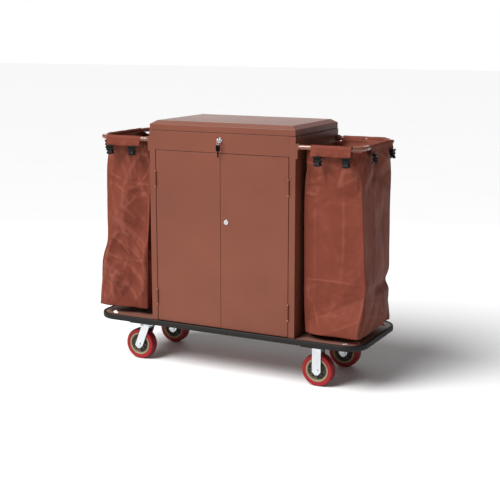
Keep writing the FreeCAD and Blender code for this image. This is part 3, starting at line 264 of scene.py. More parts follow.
# %% [markdown]
# ## Mesh helpers
# A surface here is a grid of points worked out by numpy. The faces between them are the same for
# any grid, so one function numbers them and another puts points, faces and a UV map into a mesh.
# Points are in metres in the cart's own frame, so each object stays at the origin.
# %% Grids and pieces
def grid_faces(rows, columns, round_rows=False, round_columns=True):
    """Quads of a grid numbered row by row. A round direction joins its last line to its first."""
    r, c = np.meshgrid(np.arange(rows if round_rows else rows - 1),
                       np.arange(columns if round_columns else columns - 1), indexing="ij")
    below, beside = (r + 1) % rows, (c + 1) % columns
    corners = [r * columns + c, r * columns + beside, below * columns + beside, below * columns + c]
    return np.stack(corners, axis=-1).reshape(-1, 4)


def gathered(parts):
    """Several (points, faces, uv) parts as one, with the faces renumbered."""
    points, faces, uvs, start = [], [], [], 0
    for part_points, part_faces, part_uv in parts:
        points.append(part_points.reshape(-1, 3))
        uvs.append(part_uv.reshape(-1, 2))
        faces += [[int(v) + start for v in face] for face in part_faces]
        start += len(points[-1])
    return np.concatenate(points), faces, np.concatenate(uvs)


def grid_uv(along, across):
    """A UV map in metres for a grid whose columns lie at `along` and rows at `across`."""
    return np.stack(np.broadcast_arrays(along[None], across[:, None]), axis=-1)


def at_heights(flat, height):
    """Rows of x and y, each row lifted to its own height."""
    return np.concatenate([flat, np.broadcast_to(height[:, None, None], (*flat.shape[:2], 1))], axis=2)


def show(name, data):
    """An object for a mesh, lamp or camera, linked into the scene."""
    made = bpy.data.objects.new(name, data)
    bpy.context.scene.collection.objects.link(made)
    return made


def add_piece(name, points, faces, uv, slot, body, replaced=(), wear_and_shade=None):
    """Puts points, faces and a UV in metres into a mesh that rides on a body. A face that closes a
    round grid has U at both ends of the map, so its low corners are moved on by one whole turn."""
    mesh = bpy.data.meshes.new(name)
    mesh.from_pydata(points.reshape(-1, 3).tolist(), [], [[int(v) for v in face] for face in faces])
    corner = np.empty(len(mesh.loops), np.int32)
    mesh.loops.foreach_get("vertex_index", corner)
    corner_uv = uv.reshape(-1, 2)[corner]
    sizes = np.array([len(face) for face in faces])
    face_of = np.repeat(np.arange(len(sizes)), sizes)
    highest = np.full(len(sizes), -1e9)
    np.maximum.at(highest, face_of, corner_uv[:, 0])
    period = np.ptp(uv.reshape(-1, 2)[:, 0]) * 1.0001
    corner_uv[:, 0] += period * (highest[face_of] - corner_uv[:, 0] > period / 2)
    mesh.uv_layers.new(name="Along").data.foreach_set("uv", corner_uv.astype(np.float32).ravel())
    if wear_and_shade is not None:
        mesh.attributes.new("wear_and_shade", "FLOAT", "POINT").data.foreach_set(
            "value", wear_and_shade.astype(np.float32).ravel())
    mesh.polygons.foreach_set("use_smooth", np.ones(len(mesh.polygons), bool))
    mesh.validate()
    piece = show(name, mesh)
    mesh.materials.append(FINISHES[slot])
    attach(piece, body)
    if replaced:
        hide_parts(*replaced)
    return piece


# %% [markdown]
# ## Folded and pressed steel
# CAD edges are perfectly sharp, and no real edge is: a fold in 1.5 mm sheet has a radius, and a
# cut edge is broken by its coat. A Bevel modifier rounds them, but a CAD node comes as loose
# triangles. So each one is copied, its corners are joined, flat faces are made whole, and every
# edge gets a weight: folds between two broad faces take the full radius, and the rims of the sheet
# a third of it. Weighted normals then keep the broad faces flat.
# %% Round the edges of a CAD node
FOLD_RADIUS = 1.3 * MM
RIM_SHARE = 0.3
SHARP = math.radians(30)
FLAT = math.radians(0.6)
BROAD = 5 * MM
SAME_POINT = 0.005 * MM


def loose_triangles(node):
    """A CAD node's corners, each kept once, and its triangles, without those that have no area."""
    mesh = NODES[node].data
    points = np.empty(len(mesh.vertices) * 3, np.float32)
    mesh.vertices.foreach_get("co", points)
    corner = np.empty(len(mesh.loops), np.int32)
    mesh.loops.foreach_get("vertex_index", corner)
    points = points.reshape(-1, 3)
    _, first, index = np.unique(np.round(points / SAME_POINT).astype(np.int64), axis=0,
                                return_index=True, return_inverse=True)
    faces = index.ravel()[corner].reshape(-1, 3)
    whole = (faces != np.roll(faces, 1, axis=1)).all(axis=1)
    return points[first], faces[whole]


def round_edges(node, name, radius=FOLD_RADIUS):
    """A joined copy of a CAD node with its sharp edges rounded. It stands for the node."""
    points, faces = loose_triangles(node)
    mesh = bpy.data.meshes.new(name)
    mesh.from_pydata(points.tolist(), [], faces.tolist())
    shape = bmesh.new()
    shape.from_mesh(mesh)
    bmesh.ops.dissolve_limit(shape, angle_limit=FLAT, verts=shape.verts, edges=shape.edges)
    weights = shape.edges.layers.float.new("bevel_weight_edge")
    for edge in shape.edges:
        edge.smooth = True
        if len(edge.link_faces) == 2 and edge.calc_face_angle(0.0) > SHARP:
            widths = [face.calc_area() / max(e.calc_length() for e in face.edges)
                      for face in edge.link_faces]
            edge[weights] = 1.0 if min(widths) > BROAD and edge.is_convex else RIM_SHARE
    shape.to_mesh(mesh)
    shape.free()
    mesh.polygons.foreach_set("use_smooth", np.ones(len(mesh.polygons), bool))
    piece = show(name, mesh)
    mesh.materials.append(FINISHES[SLOT_OF[node]])
    bevel = piece.modifiers.new("edge_radius", "BEVEL")
    bevel.limit_method, bevel.width, bevel.segments = "WEIGHT", radius, 2
    bevel.use_clamp_overlap = True
    flat = piece.modifiers.new("keep_flat", "WEIGHTED_NORMAL")
    flat.weight = 80
    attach(piece, NODES[node]["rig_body"])
    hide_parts(node)
    return piece


SHEET_WORK = ("lid", "left_door", "right_door", "cabinet_left_side", "cabinet_right_side",
              "cabinet_back", "cabinet_floor", "front_rail", "well_floor", "lower_shelf", "upper_shelf",
              "deck_tray", "deck_crossmembers", "magnetic_catches", "lid_striker")
SMALL_METAL = ("front_fixed_fork", "rear_fixed_fork", "front_swivel_fork", "rear_swivel_fork",
               "bag_frame_brackets", "swivel_plates", "fixed_axles", "front_swivel_axle",
               "rear_swivel_axle", "lid_lock_barrel", "door_lock_barrel", "lid_key", "spare_key")
SMALL_RADIUS = 0.6 * MM
for node in SHEET_WORK:
    round_edges(node, f"{node}_folded")
for node in SMALL_METAL:
    round_edges(node, f"{node}_broken_edges", SMALL_RADIUS)
KEPT = [node for node in NODES if not NODES[node].hide_render]
for node in KEPT:
    for spot in NODES[node].material_slots:
        spot.material = FINISHES[SLOT_OF[node]]
print("rounded", len(SHEET_WORK) + len(SMALL_METAL), "nodes; kept as they are", len(KEPT))

# %% [markdown]
# ## Bumper
# A rubber band runs right round the deck. It is made as in the factory: one cross-section carried
# along a path. The path is a rectangle with round corners, and a point of the section that lies
# `inset` in from the outer face just follows a smaller corner.
# %% Sweep the bumper
BUMPER_WALL = 12 * MM
DECK_CORNER = 100 * MM
GROOVE_DEEP, GROOVE_HALF_WIDTH = 0.8 * MM, 0.9 * MM
GROOVES_AT = (0.32, 0.68)  # shares of the band's height


def round_corners(half_x, half_y, radius, steps):
    """Unit directions and arc centres round a rectangle, anticlockwise from the front right."""
    angles = np.concatenate([np.linspace(start, start + math.pi / 2, steps) for start in
                             (-math.pi / 2, 0, math.pi / 2, math.pi)])
    sign_x = np.repeat([1, 1, -1, -1], steps)
    sign_y = np.repeat([-1, 1, 1, -1], steps)
    centres = np.stack([sign_x * (half_x - radius), sign_y * (half_y - radius)], axis=-1)
    return np.stack([np.cos(angles), np.sin(angles)], axis=-1), centres


def sweep_bumper():
    """Section: a D with a crowned outer face and two shallow grooves; `inset` and height per point."""
    low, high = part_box("deck_bumper")
    tall = high.z - low.z
    turn = np.linspace(-math.pi / 2, math.pi / 2, 41)
    outer_inset = BUMPER_WALL * 0.62 * (1 - np.cos(turn) ** 0.42)
    height = low.z + tall * (0.5 + 0.5 * np.sign(np.sin(turn)) * np.abs(np.sin(turn)) ** 0.8)
    for share in GROOVES_AT:
        groove = np.exp(-((height - low.z - tall * share) / GROOVE_HALF_WIDTH) ** 2)
        outer_inset = outer_inset + GROOVE_DEEP * groove
    inset = np.concatenate([[BUMPER_WALL], outer_inset, [BUMPER_WALL]])
    height = np.concatenate([[low.z], height, [high.z]])
    direction, centre = round_corners(high.x, high.y, DECK_CORNER, 26)
    flat = centre[None] + direction[None] * (DECK_CORNER - inset[:, None, None])
    points = at_heights(flat, height)
    steps = np.linalg.norm(np.diff(flat[21], axis=0, append=flat[21][:1]), axis=1)
    along = np.concatenate([[0], np.cumsum(steps)[:-1]])
    across = np.cumsum(np.hypot(np.diff(inset, prepend=inset[0]), np.diff(height, prepend=height[0])))
    uv = grid_uv(along, across)
    faces = grid_faces(len(inset), len(along), round_rows=True)
    return add_piece("deck_bumper_extrusion", points, faces, uv, "black_rubber", "root",
                     ["deck_bumper"])


print("bumper faces", len(sweep_bumper().data.polygons))

# %% [markdown]
# ## Wheels
# Tyres and cores are turned shapes: a closed outline of radius and width, spun round the axle. The
# tyre has a crowned tread, round shoulders and a bead line. The core's dish has eight ribs, which
# a plain lathe can't make, so the width of each point also rises and falls with the angle.
# %% Spin a closed outline round an axle
RIBS, RIB_RISE = 8, 7 * MM
RIBS_FROM, RIBS_TO, RIB_EASE = 21 * MM, 45 * MM, 4 * MM


def spun(outline, middle, segments, ribs=None):
    """Points at (middle + radius cos a, middle + width, middle + radius sin a); ribs add width."""
    radius, width = np.array(outline, float).T * MM
    angle = np.linspace(0, 2 * math.pi, segments, endpoint=False)
    wide = np.broadcast_to(width[:, None], (len(width), segments)).copy()
    if ribs is not None:
        wide += ribs(radius[:, None], width[:, None], angle[None])
    points = np.stack([middle.x + radius[:, None] * np.cos(angle), middle.y + wide,
                       middle.z + radius[:, None] * np.sin(angle)], axis=-1)
    uv = grid_uv(angle * 60 * MM, radius)
    return points, grid_faces(len(radius), segments, round_rows=True)[:, ::-1], uv


def mirrored_outline(half):
    """The outline of one side, then the same backwards on the other side."""
    return half + [(radius, -width) for radius, width in reversed(half)]


def dish_ribs(radius, width, angle):
    """Eight soft ribs that stand up from the dish between hub and rim."""
    lobes = np.clip(np.cos(RIBS * angle), 0, 1) ** 3
    inner = np.clip((radius - RIBS_FROM) / RIB_EASE, 0, 1)
    outer = np.clip((RIBS_TO - radius) / RIB_EASE, 0, 1)
    return np.sign(width) * RIB_RISE * lobes * (inner * outer)


# millimetres: rolling radius, how far the crown stands above its edges, round shoulder, half tread
ROLL, CROWN, SHOULDER, TREAD = 75, 0.5, 7, 16
shoulder = [(ROLL - SHOULDER - CROWN + SHOULDER * math.sin(a), TREAD + SHOULDER * math.cos(a))
            for a in np.linspace(0, math.pi / 2, 9)]
crown = [(ROLL - CROWN + CROWN * math.cos(width / TREAD * math.pi / 2), width)
         for width in (13, 9, 5, 1.5)]
BEAD = [(54, 20), (54, 22.2), (55, 22.8), (57.5, 22.9), (58.6, 22.3), (59.6, 22.9), (64, 23)]
TYRE = mirrored_outline(BEAD + shoulder + crown)
HUB = [(6.1, 24), (7, 25), (16, 25), (18.4, 24.4), (19, 22.5), (19.6, 12), (21, 8.4)]
DISH = [(24, 7), (29, 7), (34, 7), (39, 7), (42.5, 8.2)]
LIP = [(44.2, 12), (45.2, 18.5), (46.4, 21.4), (48, 22.6), (53, 22.8), (54, 22.2)]
CORE = mirrored_outline(HUB + DISH + LIP)
for wheel in ("front_fixed", "rear_fixed", "front_swivel", "rear_swivel"):
    low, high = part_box(f"{wheel}_tyre")
    hub = (low + high) / 2
    body = NODES[f"{wheel}_tyre"]["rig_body"]
    add_piece(f"{wheel}_tyre_cast", *spun(TYRE, hub, 144), "red_polyurethane", body,
              [f"{wheel}_tyre"])
    add_piece(f"{wheel}_core_moulded", *spun(CORE, hub, 160, dish_ribs), "wheel_core", body,
              [f"{wheel}_wheel_core"])
print("wheel radius", round(WHEEL_RADIUS, 4))

# %% [markdown]
# ## Tube frames
# Each frame is a bent steel tube. The CAD tube already has the right curve, so it keeps its shape
# and only takes the glossy enamel. Its size is measured here, because the bags hang from it.
# %% Measure the right frame
tube_low, tube_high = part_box("right_bag_frame")
TUBE = (tube_high.z - tube_low.z) / 2
TUBE_Z = (tube_high.z + tube_low.z) / 2
TUBE_Y = tube_high.y - TUBE
TUBE_END = tube_high.x - TUBE
print("tube radius", round(TUBE, 4), "height", round(TUBE_Z, 4), "end", round(TUBE_END, 4))

# %% [markdown]
# ## Bags
# Each bag is a sewn box of cloth that hangs from its frame. A bag that has hung for months keeps
# the folds it was packed with, and these are easier to place one by one than to simulate. So the
# shell is lofted: four corner lines come down from the frame, the panels between them belly out a
# little, and folds and creases are added outwards. A fold tilts everything below a line, and a
# crease is a soft ridge on it.
# %% Corner lines and the shell between them
SHELL_ROWS = 150
FLOOR_ROWS = 16
PANEL_COLUMNS = (62, 78, 62, 70)  # panels 0 front, 1 outer end, 2 rear, 3 against the cabinet
FRAME_BEND = 57 * MM


def corner_line(heights, stops):
    """A corner's x and y at each height, eased between stops of (z, x, y) in millimetres."""
    z, x, y = np.array(sorted(stops), float).T * MM
    fine = np.linspace(z[0], z[-1], 400)
    kernel = np.hanning(25) / np.hanning(25).sum()
    eased = [np.convolve(np.pad(np.interp(fine, z, v), 12, mode="edge"), kernel, mode="valid")
             for v in (x, y)]
    return np.stack([np.interp(heights, fine, v) for v in eased], axis=-1)


def lay_out_panels():
    """For each column: its panel, its share along the panel, closer together near the corners."""
    panel = np.repeat(np.arange(4), PANEL_COLUMNS)
    share = np.concatenate([np.arange(n) / n for n in PANEL_COLUMNS])
    return panel, share - 0.06 * np.sin(2 * math.pi * share)


def shell_points(corners, heights, bend, belly):
    """Panels between four corner lines. Near a corner a point moves onto an arc of radius `bend`, and
    mid-panel it moves out by `belly`. Returns points, outward directions and metres along a panel."""
    panel, share = lay_out_panels()
    start = corners[:, panel]
    end = corners[:, (panel + 1) % 4]
    side = end - start
    length = np.linalg.norm(side, axis=-1, keepdims=True)
    ahead = side / length
    outward = np.stack([ahead[..., 1], -ahead[..., 0]], axis=-1)
    near_end = share > 0.5
    gap = np.where(near_end, 1 - share, share)[None, :, None] * length
    corner = np.where(near_end[None, :, None], end, start)
    toward = np.where(near_end[None, :, None], ahead, -ahead)
    radius = bend[:, None, None]
    turn = np.clip(1 - gap / radius, 0, 1) * math.pi / 4
    arc = corner - toward * radius - outward * radius + radius * (
        outward * np.cos(turn) + toward * np.sin(turn))
    flat = start + side * share[None, :, None]
    out = np.where(gap < radius, arc, flat)
    swell = belly[:, None] * np.sin(math.pi * share)[None] ** 1.3
    normal = outward * np.cos(turn) + toward * np.sin(turn)
    out = out + normal * swell[..., None]
    return at_heights(out, heights), normal, panel, share, length[..., 0]


# %% [markdown]
# ### Folds and creases
# Every fold is a line on one panel, from one point to another, each given as a share across the
# panel and a height. The distance of a grid point to that line decides what it adds. Crumples are
# what is left between the folds: many small flat facets that meet in creases.
# %% What folds, creases and crumples add
def line_distance(across, height, start, end):
    """Distance below a line and how far along it each point is. The line bows by 5 % of its length,
    to a side that its own height decides, because no fold in cloth is quite straight."""
    (x0, z0), (x1, z1) = start, end
    dx, dz = x1 - x0, z1 - z0
    reach = math.hypot(dx, dz)
    along = ((across - x0) * dx + (height - z0) * dz) / reach ** 2
    below = ((across - x0) * dz - (height - z0) * dx) / reach
    bow = 0.05 * reach * math.sin(90 * (z0 + x1))
    return below + bow * np.sin(math.pi * np.clip(along, 0, 1)), along


def crease(across, height, start, end, rise, width):
    """A soft ridge on a line, `rise` mm high, that dies away to both sides and towards its ends."""
    below, along = line_distance(across, height, start, end)
    ends = np.sin(math.pi * np.clip(along, 0, 1)) ** 1.2
    return rise * MM * np.exp(-np.abs(below / width) ** 1.1) * ends


def fold(across, height, start, end, tilt, most):
    """A hinge: below the line the cloth leans out by `tilt` for each metre, up to `most`."""
    below, _ = line_distance(across, height, start, end)
    return np.clip(below * tilt, 0, most)


def crumple(rng, across, height, size, slope):
    """Facets with creased edges: triangle waves of seeded direction and length added together, each
    bent by slow sines. A triangle wave is arcsin(sin), kept a little round at its corners."""
    total = np.zeros(height.shape)
    for _ in range(6):
        angle, wave = rng.uniform(0, math.pi), size * rng.uniform(0.6, 1.7)
        phase = rng.uniform(0, 2 * math.pi, 3)
        bent_x = across + 0.4 * size * np.sin(height / (0.8 * size) + phase[0])
        bent_z = height + 0.4 * size * np.sin(across / (0.7 * size) + phase[1])
        turn = 2 * math.pi * (bent_x * math.cos(angle) + bent_z * math.sin(angle)) / wave + phase[2]
        total += np.arcsin(0.99 * np.sin(turn)) * wave * slope / (2 * math.pi)
    return total


# %% [markdown]
# ### Sewing one bag
# The shell goes from the hem down to the bottom edge, then in across the floor. The left bag is
# mirrored, with its own corner lines and wrinkles. Where a flap is clipped, the cloth gathers
# into small pleats that fade out a hand's width below.
# %% Wrinkles, floor and wear
CLOTH = 1.2 * MM
BIG_CRUMPLE = (160 * MM, 0.10)  # size of the facets and their slope
SMALL_CRUMPLE = (60 * MM, 0.07)
GATHERED = 110 * MM  # the pleats under the flaps fade out over this
PLEAT, PLEAT_RISE = 15 * MM, 4 * MM
WAVE_RISE = 1.4 * MM
FLOOR_SAG, FLOOR_RUN = 6 * MM, 150 * MM
FULL_TONE_RISE = 0.5 * MM  # a ridge that stands this far above its surroundings is fully worn and pale, a fold this deep fully in painted shade


def placed(lines_of, shape_of, panel, across, height, length):
    """What all the folds, or all the creases, add to each point of the shell."""
    total = np.zeros(height.shape)
    for number, (x0, z0), (x1, z1), amount, limit in lines_of:
        here = panel == number
        wide = length[0, here][0]
        total[:, here] += shape_of(across[:, here], height[:, here], (x0 * wide, z0 * MM),
                                   (x1 * wide, z1 * MM), amount, limit * MM)
    return total


def wrinkles(rng, panel, share, across, height, strength, below_hem):
    """Two sizes of crumple, the small one in patches, slow waves, and the pleats under the flaps:
    |sin| of the distance along a panel, fading with the distance down."""
    run = across + 0.31 * panel[None]
    patches = np.sin(run / 0.047 + 2 * np.sin(height / 0.09)) * np.sin(height / 0.061 + run / 0.11)
    total = strength * crumple(rng, run, height, *BIG_CRUMPLE)
    total += strength * np.clip(patches, 0, 1) * crumple(rng, run, height, *SMALL_CRUMPLE)
    pleats = np.abs(np.sin(across / PLEAT + 2 * panel + 3 * below_hem)) * np.exp(-4 * below_hem)
    total += (PLEAT_RISE * pleats * np.clip(below_hem * 5, 0, 1) * (panel != 3)
              * np.sin(math.pi * share) ** 0.3)
    slow = np.sin(across / 0.061 + height / 0.083 + panel) * np.sin(height / 0.117 - across / 0.19)
    return total + WAVE_RISE * slow * np.clip(below_hem, 0, 1)


def bag_floor(edge):
    """Rings from the bottom edge in to its centre, sagging on the way and level at the last."""
    centre = edge.mean(axis=0)
    inward = np.linspace(0, 1, FLOOR_ROWS + 1)[1:, None, None]
    floor = edge[None] * (1 - inward) + centre[None, None] * inward
    floor[..., 2] -= FLOOR_SAG * np.sin(math.pi * np.clip(inward[..., 0], 0, 0.5))
    floor[-1] = centre + (floor[-1] - centre) * 0.001
    floor[-1, :, 2] = floor[-1, :, 2].mean()
    return floor


def ridge_wear_and_fold_shade(rise):
    """0.5 on smooth cloth, up to 1 on worn ridges and down to 0 in folds, which are painted as shade:
    the relief less its blur.
    """
    blurred = rise.copy()
    for _ in range(3):
        blurred = (np.roll(blurred, 1, 1) + np.roll(blurred, -1, 1) + 2 * blurred) / 4
        blurred[1:-1] = (blurred[:-2] + blurred[2:] + 2 * blurred[1:-1]) / 4
    return (rise - blurred) / FULL_TONE_RISE


# %% [markdown]
# Sewing a bag is now a short list: shell, folds, wrinkles, hem, floor, and wear with painted shade.
# %% One bag
def sew_bag(side, lines, belly, folds, creases, crumpled, droop, seed):
    """One bag's points, faces, UV, and wear with painted shade, built on the right and mirrored for side
    -1.
    """
    share_down = np.linspace(0, 1, SHELL_ROWS)
    top, bottom = TUBE_Z - 1 * MM, min(stop[0] for line in lines for stop in line) * MM
    heights = top + (bottom - top) * (share_down ** 0.92)
    corners = np.stack([corner_line(heights, line) for line in lines], axis=1)
    bend = np.interp(heights, [0.94, 1.02, TUBE_Z - 14 * MM], [5 * MM, 24 * MM, FRAME_BEND])
    points, normal, panel, share, length = shell_points(
        corners, heights, bend, np.interp(heights, *np.array(belly).T * MM))
    height = points[..., 2]
    across = share[None] * length
    below_hem = np.clip((top - height) / GATHERED, 0, 1)
    strength = np.interp(height, *np.array(crumpled).T * np.array([[MM], [1.0]]))
    rise = placed(creases, crease, panel, across, height, length)
    rise += wrinkles(np.random.default_rng(seed), panel, share, across, height, strength, below_hem)
    # corners stay crisp and the hem stays smooth, and no fold starts on the cabinet's side
    rise *= np.clip(np.minimum(share, 1 - share) * 12, 0.15, 1)[None] * np.clip(below_hem * 3, 0.2, 1)
    from_cabinet = np.where(panel == 0, share, np.where(panel == 2, 1 - share, 1))
    rise += (placed(folds, fold, panel, across, height, length)
             * np.clip(from_cabinet * 8, 0, 1)[None])
    points[..., :2] += normal * rise[..., None]
    points[..., 2] -= np.clip(1 - share_down * 9, 0, 1)[:, None] * droop(panel, share)[None]

    sheet = np.concatenate([points, bag_floor(points[-1])])
    ridge = np.zeros(sheet.shape[:2])
    # worn ridges pale and folds in painted shade, fading out towards the bottom edge
    ridge[:SHELL_ROWS] = ridge_wear_and_fold_shade(rise) * np.clip((points[..., 2] - bottom) / (60 * MM), 0, 1)
    around = np.cumsum(np.linalg.norm(np.diff(points[70, :, :2], axis=0, prepend=points[70, :1, :2]),
                                      axis=1))
    floor_down = top - bottom + np.linspace(0, FLOOR_RUN, FLOOR_ROWS + 1)[1:]
    uv = grid_uv(around, np.concatenate([top - heights, floor_down]))
    faces = grid_faces(*sheet.shape[:2])[:, ::-1].tolist()
    last = (len(sheet) - 1) * sheet.shape[1]
    faces.append(list(range(last + sheet.shape[1] - 1, last - 1, -1)))
    if side < 0:
        sheet = sheet * np.array([-1, 1, 1])
        faces = [face[::-1] for face in faces]
    return sheet, faces, uv, np.clip(0.5 + 0.5 * ridge, 0, 1)


def thicken(piece, thickness):
    """Gives a single surface its cloth thickness, inwards, with a closed rim."""
    wall = piece.modifiers.new("cloth_thickness", "SOLIDIFY")
    wall.thickness, wall.offset, wall.use_rim = thickness, -1, True
    return piece


def hem_droop(flaps):
    """How far the hem hangs below the tube's middle: more between the flaps than under them."""
    def droop(panel, share):
        open_share = np.ones(len(share))
        for number, low, high in flaps:
            inside = np.clip(np.minimum(share - low, high - share) * 14 + 0.5, 0, 1) * (panel == number)
            open_share -= inside
        return np.where(panel == 3, 9, 17) * MM * np.clip(open_share, 0, 1)
    return droop


# %% [markdown]
# ### The right bag
# This one hangs straight: crisp corners, upright creases where it was packed flat, one level fold
# below the middle and a triangle folded out at the foot of each panel.
# %% Lines and folds of the right bag
RIGHT_LINES = [
    [(264, 402, -192), (369, 395, -192), (557, 392, -190), (814, 389, -190), (994, 398, -196),
     (1040, 394, -206), (1079, 390, -214)],
    [(267, 655, -195), (402, 680, -191), (476, 686, -190), (585, 678, -190), (763, 669, -190),
     (974, 659, -194), (1040, 650, -207), (1079, 646, -214)],
    [(252, 652, 182), (405, 660, 184), (441, 640, 182), (495, 659, 184), (780, 655, 184),
     (970, 655, 187), (1040, 648, 206), (1079, 646, 214)],
    [(258, 396, 184), (369, 392, 184), (700, 388, 184), (960, 390, 188), (1040, 390, 206),
     (1079, 388, 214)],
]
RIGHT_FOLDS = [(0, (-0.05, 300), (1.0, 425), 0.28, 24), (1, (0.0, 425), (1.05, 330), 0.2, 15),
               (2, (-0.05, 330), (1.05, 320), 0.1, 8)]
RIGHT_CREASES = [
    (0, (-0.2, 492), (1.2, 488), 2.0, 9), (0, (0.66, 1040), (0.68, 430), 2.6, 22),
    (0, (0.2, 1000), (0.19, 330), 1.6, 18), (0, (-0.1, 905), (0.4, 918), -2.4, 9),
    (0, (-0.1, 888), (0.3, 874), 2.6, 8), (0, (0.1, 330), (0.5, 345), 2.0, 12),
    (0, (0.3, 1030), (0.42, 880), -2.4, 12), (0, (0.78, 1030), (0.6, 900), 2.2, 12),
    (0, (0.12, 420), (0.3, 262), 2.4, 14), (1, (-0.2, 492), (1.1, 486), 1.6, 9),
    (1, (0.02, 400), (0.12, 262), -2.0, 12), (1, (0.34, 1010), (0.33, 400), 3.0, 22),
    (1, (0.66, 1030), (0.68, 450), -3.0, 24), (1, (0.5, 600), (0.72, 280), 2.4, 14),
    (1, (0.72, 720), (0.95, 500), -3.0, 14), (1, (0.7, 500), (1.1, 448), 5.0, 12),
    (1, (0.7, 470), (1.1, 432), -5.0, 12), (2, (0.3, 980), (0.32, 400), 2.4, 20),
    (2, (-0.2, 500), (1.2, 496), 2.2, 9), (2, (0.2, 380), (0.7, 262), 2.4, 14),
    (3, (0.35, 950), (0.36, 400), 2.0, 20),
]
RIGHT_CRUMPLED = [(240, 0.5), (420, 0.45), (560, 0.2), (840, 0.22), (930, 0.9), (1050, 1.0)]
FLAPS = ((0, 0.17, 0.9), (1, 0.135, 0.88), (2, 0.12, 1.1))  # panel, from and to, as shares
RIGHT_BELLY = [(240, 1), (300, 3), (600, 3), (900, 2), (1000, 0), (1080, 0)]
*shell, bag_wear_and_shade = sew_bag(1, RIGHT_LINES, RIGHT_BELLY, RIGHT_FOLDS, RIGHT_CREASES, RIGHT_CRUMPLED,
                           hem_droop(FLAPS), 21)
thicken(add_piece("right_bag_sewn", *shell, "bag_cloth", "root", ["right_bag"], bag_wear_and_shade), CLOTH)
print("right bag points", shell[0].shape)

# %% [markdown]
# ### The left bag
# This one is slacker: it leans outwards at the foot, its front is crossed by slanting folds, and
# its lower end has a kink where it once stood on the deck.
# %% Lines and folds of the left bag
LEFT_LINES = [
    [(257, 430, -186), (394, 423, -190), (552, 421, -190), (786, 404, -190), (909, 395, -191),
     (1040, 388, -206), (1079, 388, -214)],
    [(259, 689, -184), (367, 674, -188), (490, 664, -190), (579, 650, -190), (690, 651, -190),
     (847, 648, -190), (1003, 636, -200), (1079, 640, -213)],
    [(260, 684, 176), (440, 664, 182), (600, 654, 184), (960, 648, 188), (1040, 643, 205),
     (1079, 644, 213)],
    [(258, 428, 178), (420, 420, 182), (700, 402, 184), (960, 390, 188), (1040, 386, 206),
     (1079, 388, 214)],
]
LEFT_FOLDS = [(0, (-0.05, 480), (1.0, 545), 0.12, 9), (0, (0.2, 200), (1.0, 620), 0.1, 9),
              (1, (0.0, 545), (1.05, 510), 0.12, 9), (1, (0.0, 620), (0.9, 300), 0.1, 9),
              (2, (-0.05, 500), (1.05, 470), 0.06, 8)]
LEFT_CREASES = [
    (0, (-0.2, 500), (0.5, 486), 3.4, 10), (0, (0.36, 486), (0.66, 580), 3.4, 10),
    (0, (0.5, 478), (0.85, 500), -3.0, 11), (0, (1.15, 565), (0.66, 492), 4.4, 11),
    (0, (1.12, 510), (0.7, 462), -4.4, 11), (0, (0.9, 480), (0.52, 262), 4.0, 14),
    (0, (1.0, 470), (0.84, 270), -3.4, 13), (0, (0.74, 420), (0.64, 250), 2.6, 13),
    (0, (0.3, 690), (0.62, 770), 2.8, 13), (0, (0.2, 630), (0.6, 700), -2.8, 14),
    (0, (0.3, 810), (0.6, 730), 2.4, 12), (0, (0.6, 880), (0.86, 908), 2.8, 8),
    (0, (0.45, 812), (0.8, 866), 2.6, 9), (0, (-0.1, 1010), (0.36, 830), 4.0, 14),
    (0, (0.36, 1030), (0.3, 860), -3.2, 13), (0, (-0.1, 862), (0.6, 868), 2.4, 9),
    (1, (0.3, 980), (0.32, 400), 2.8, 20), (1, (0.7, 960), (0.66, 450), -2.8, 22),
    (1, (-0.1, 560), (0.45, 500), 3.6, 12), (1, (0.05, 470), (0.5, 280), 3.0, 14),
    (1, (0.4, 700), (0.9, 640), 2.4, 12), (2, (0.3, 940), (0.36, 420), 2.4, 20),
    (2, (-0.1, 520), (0.9, 480), 2.8, 11), (2, (0.5, 440), (0.8, 280), 2.8, 14),
    (3, (0.4, 950), (0.42, 420), 2.0, 20),
]
LEFT_CRUMPLED = [(240, 1.0), (420, 1.2), (560, 1.1), (700, 0.9), (840, 1.1), (930, 1.3), (1050, 1.0)]
LEFT_BELLY = [(240, 2), (300, 6), (600, 5), (900, 4), (1000, 0), (1080, 0)]
*shell, bag_wear_and_shade = sew_bag(-1, LEFT_LINES, LEFT_BELLY, LEFT_FOLDS, LEFT_CREASES, LEFT_CRUMPLED,
                           hem_droop(FLAPS), 34)
thicken(add_piece("left_bag_sewn", *shell, "bag_cloth", "root", ["left_bag"], bag_wear_and_shade), CLOTH)
print("left bag points", shell[0].shape)

# %% [markdown]
# ### Flaps over the tube
# On three sides the bag's top goes up inside the tube, over it, and down outside as a flap. So a
# flap is a grid of distance over the tube and distance along it: up, half a circle, then down,
# rippling more towards the hem. The hem is turned twice and sewn, so its last 18 mm are thicker,
# with a row of stitches pressed into them.
# %% One flap
FLAP_GAP = 1.4 * MM  # between the tube and the middle of the cloth
FLAP_INSIDE = 26 * MM
FLAP_STEP = 3 * MM
HEM, STITCHES, STITCH = 18 * MM, 15 * MM, 0.9 * MM


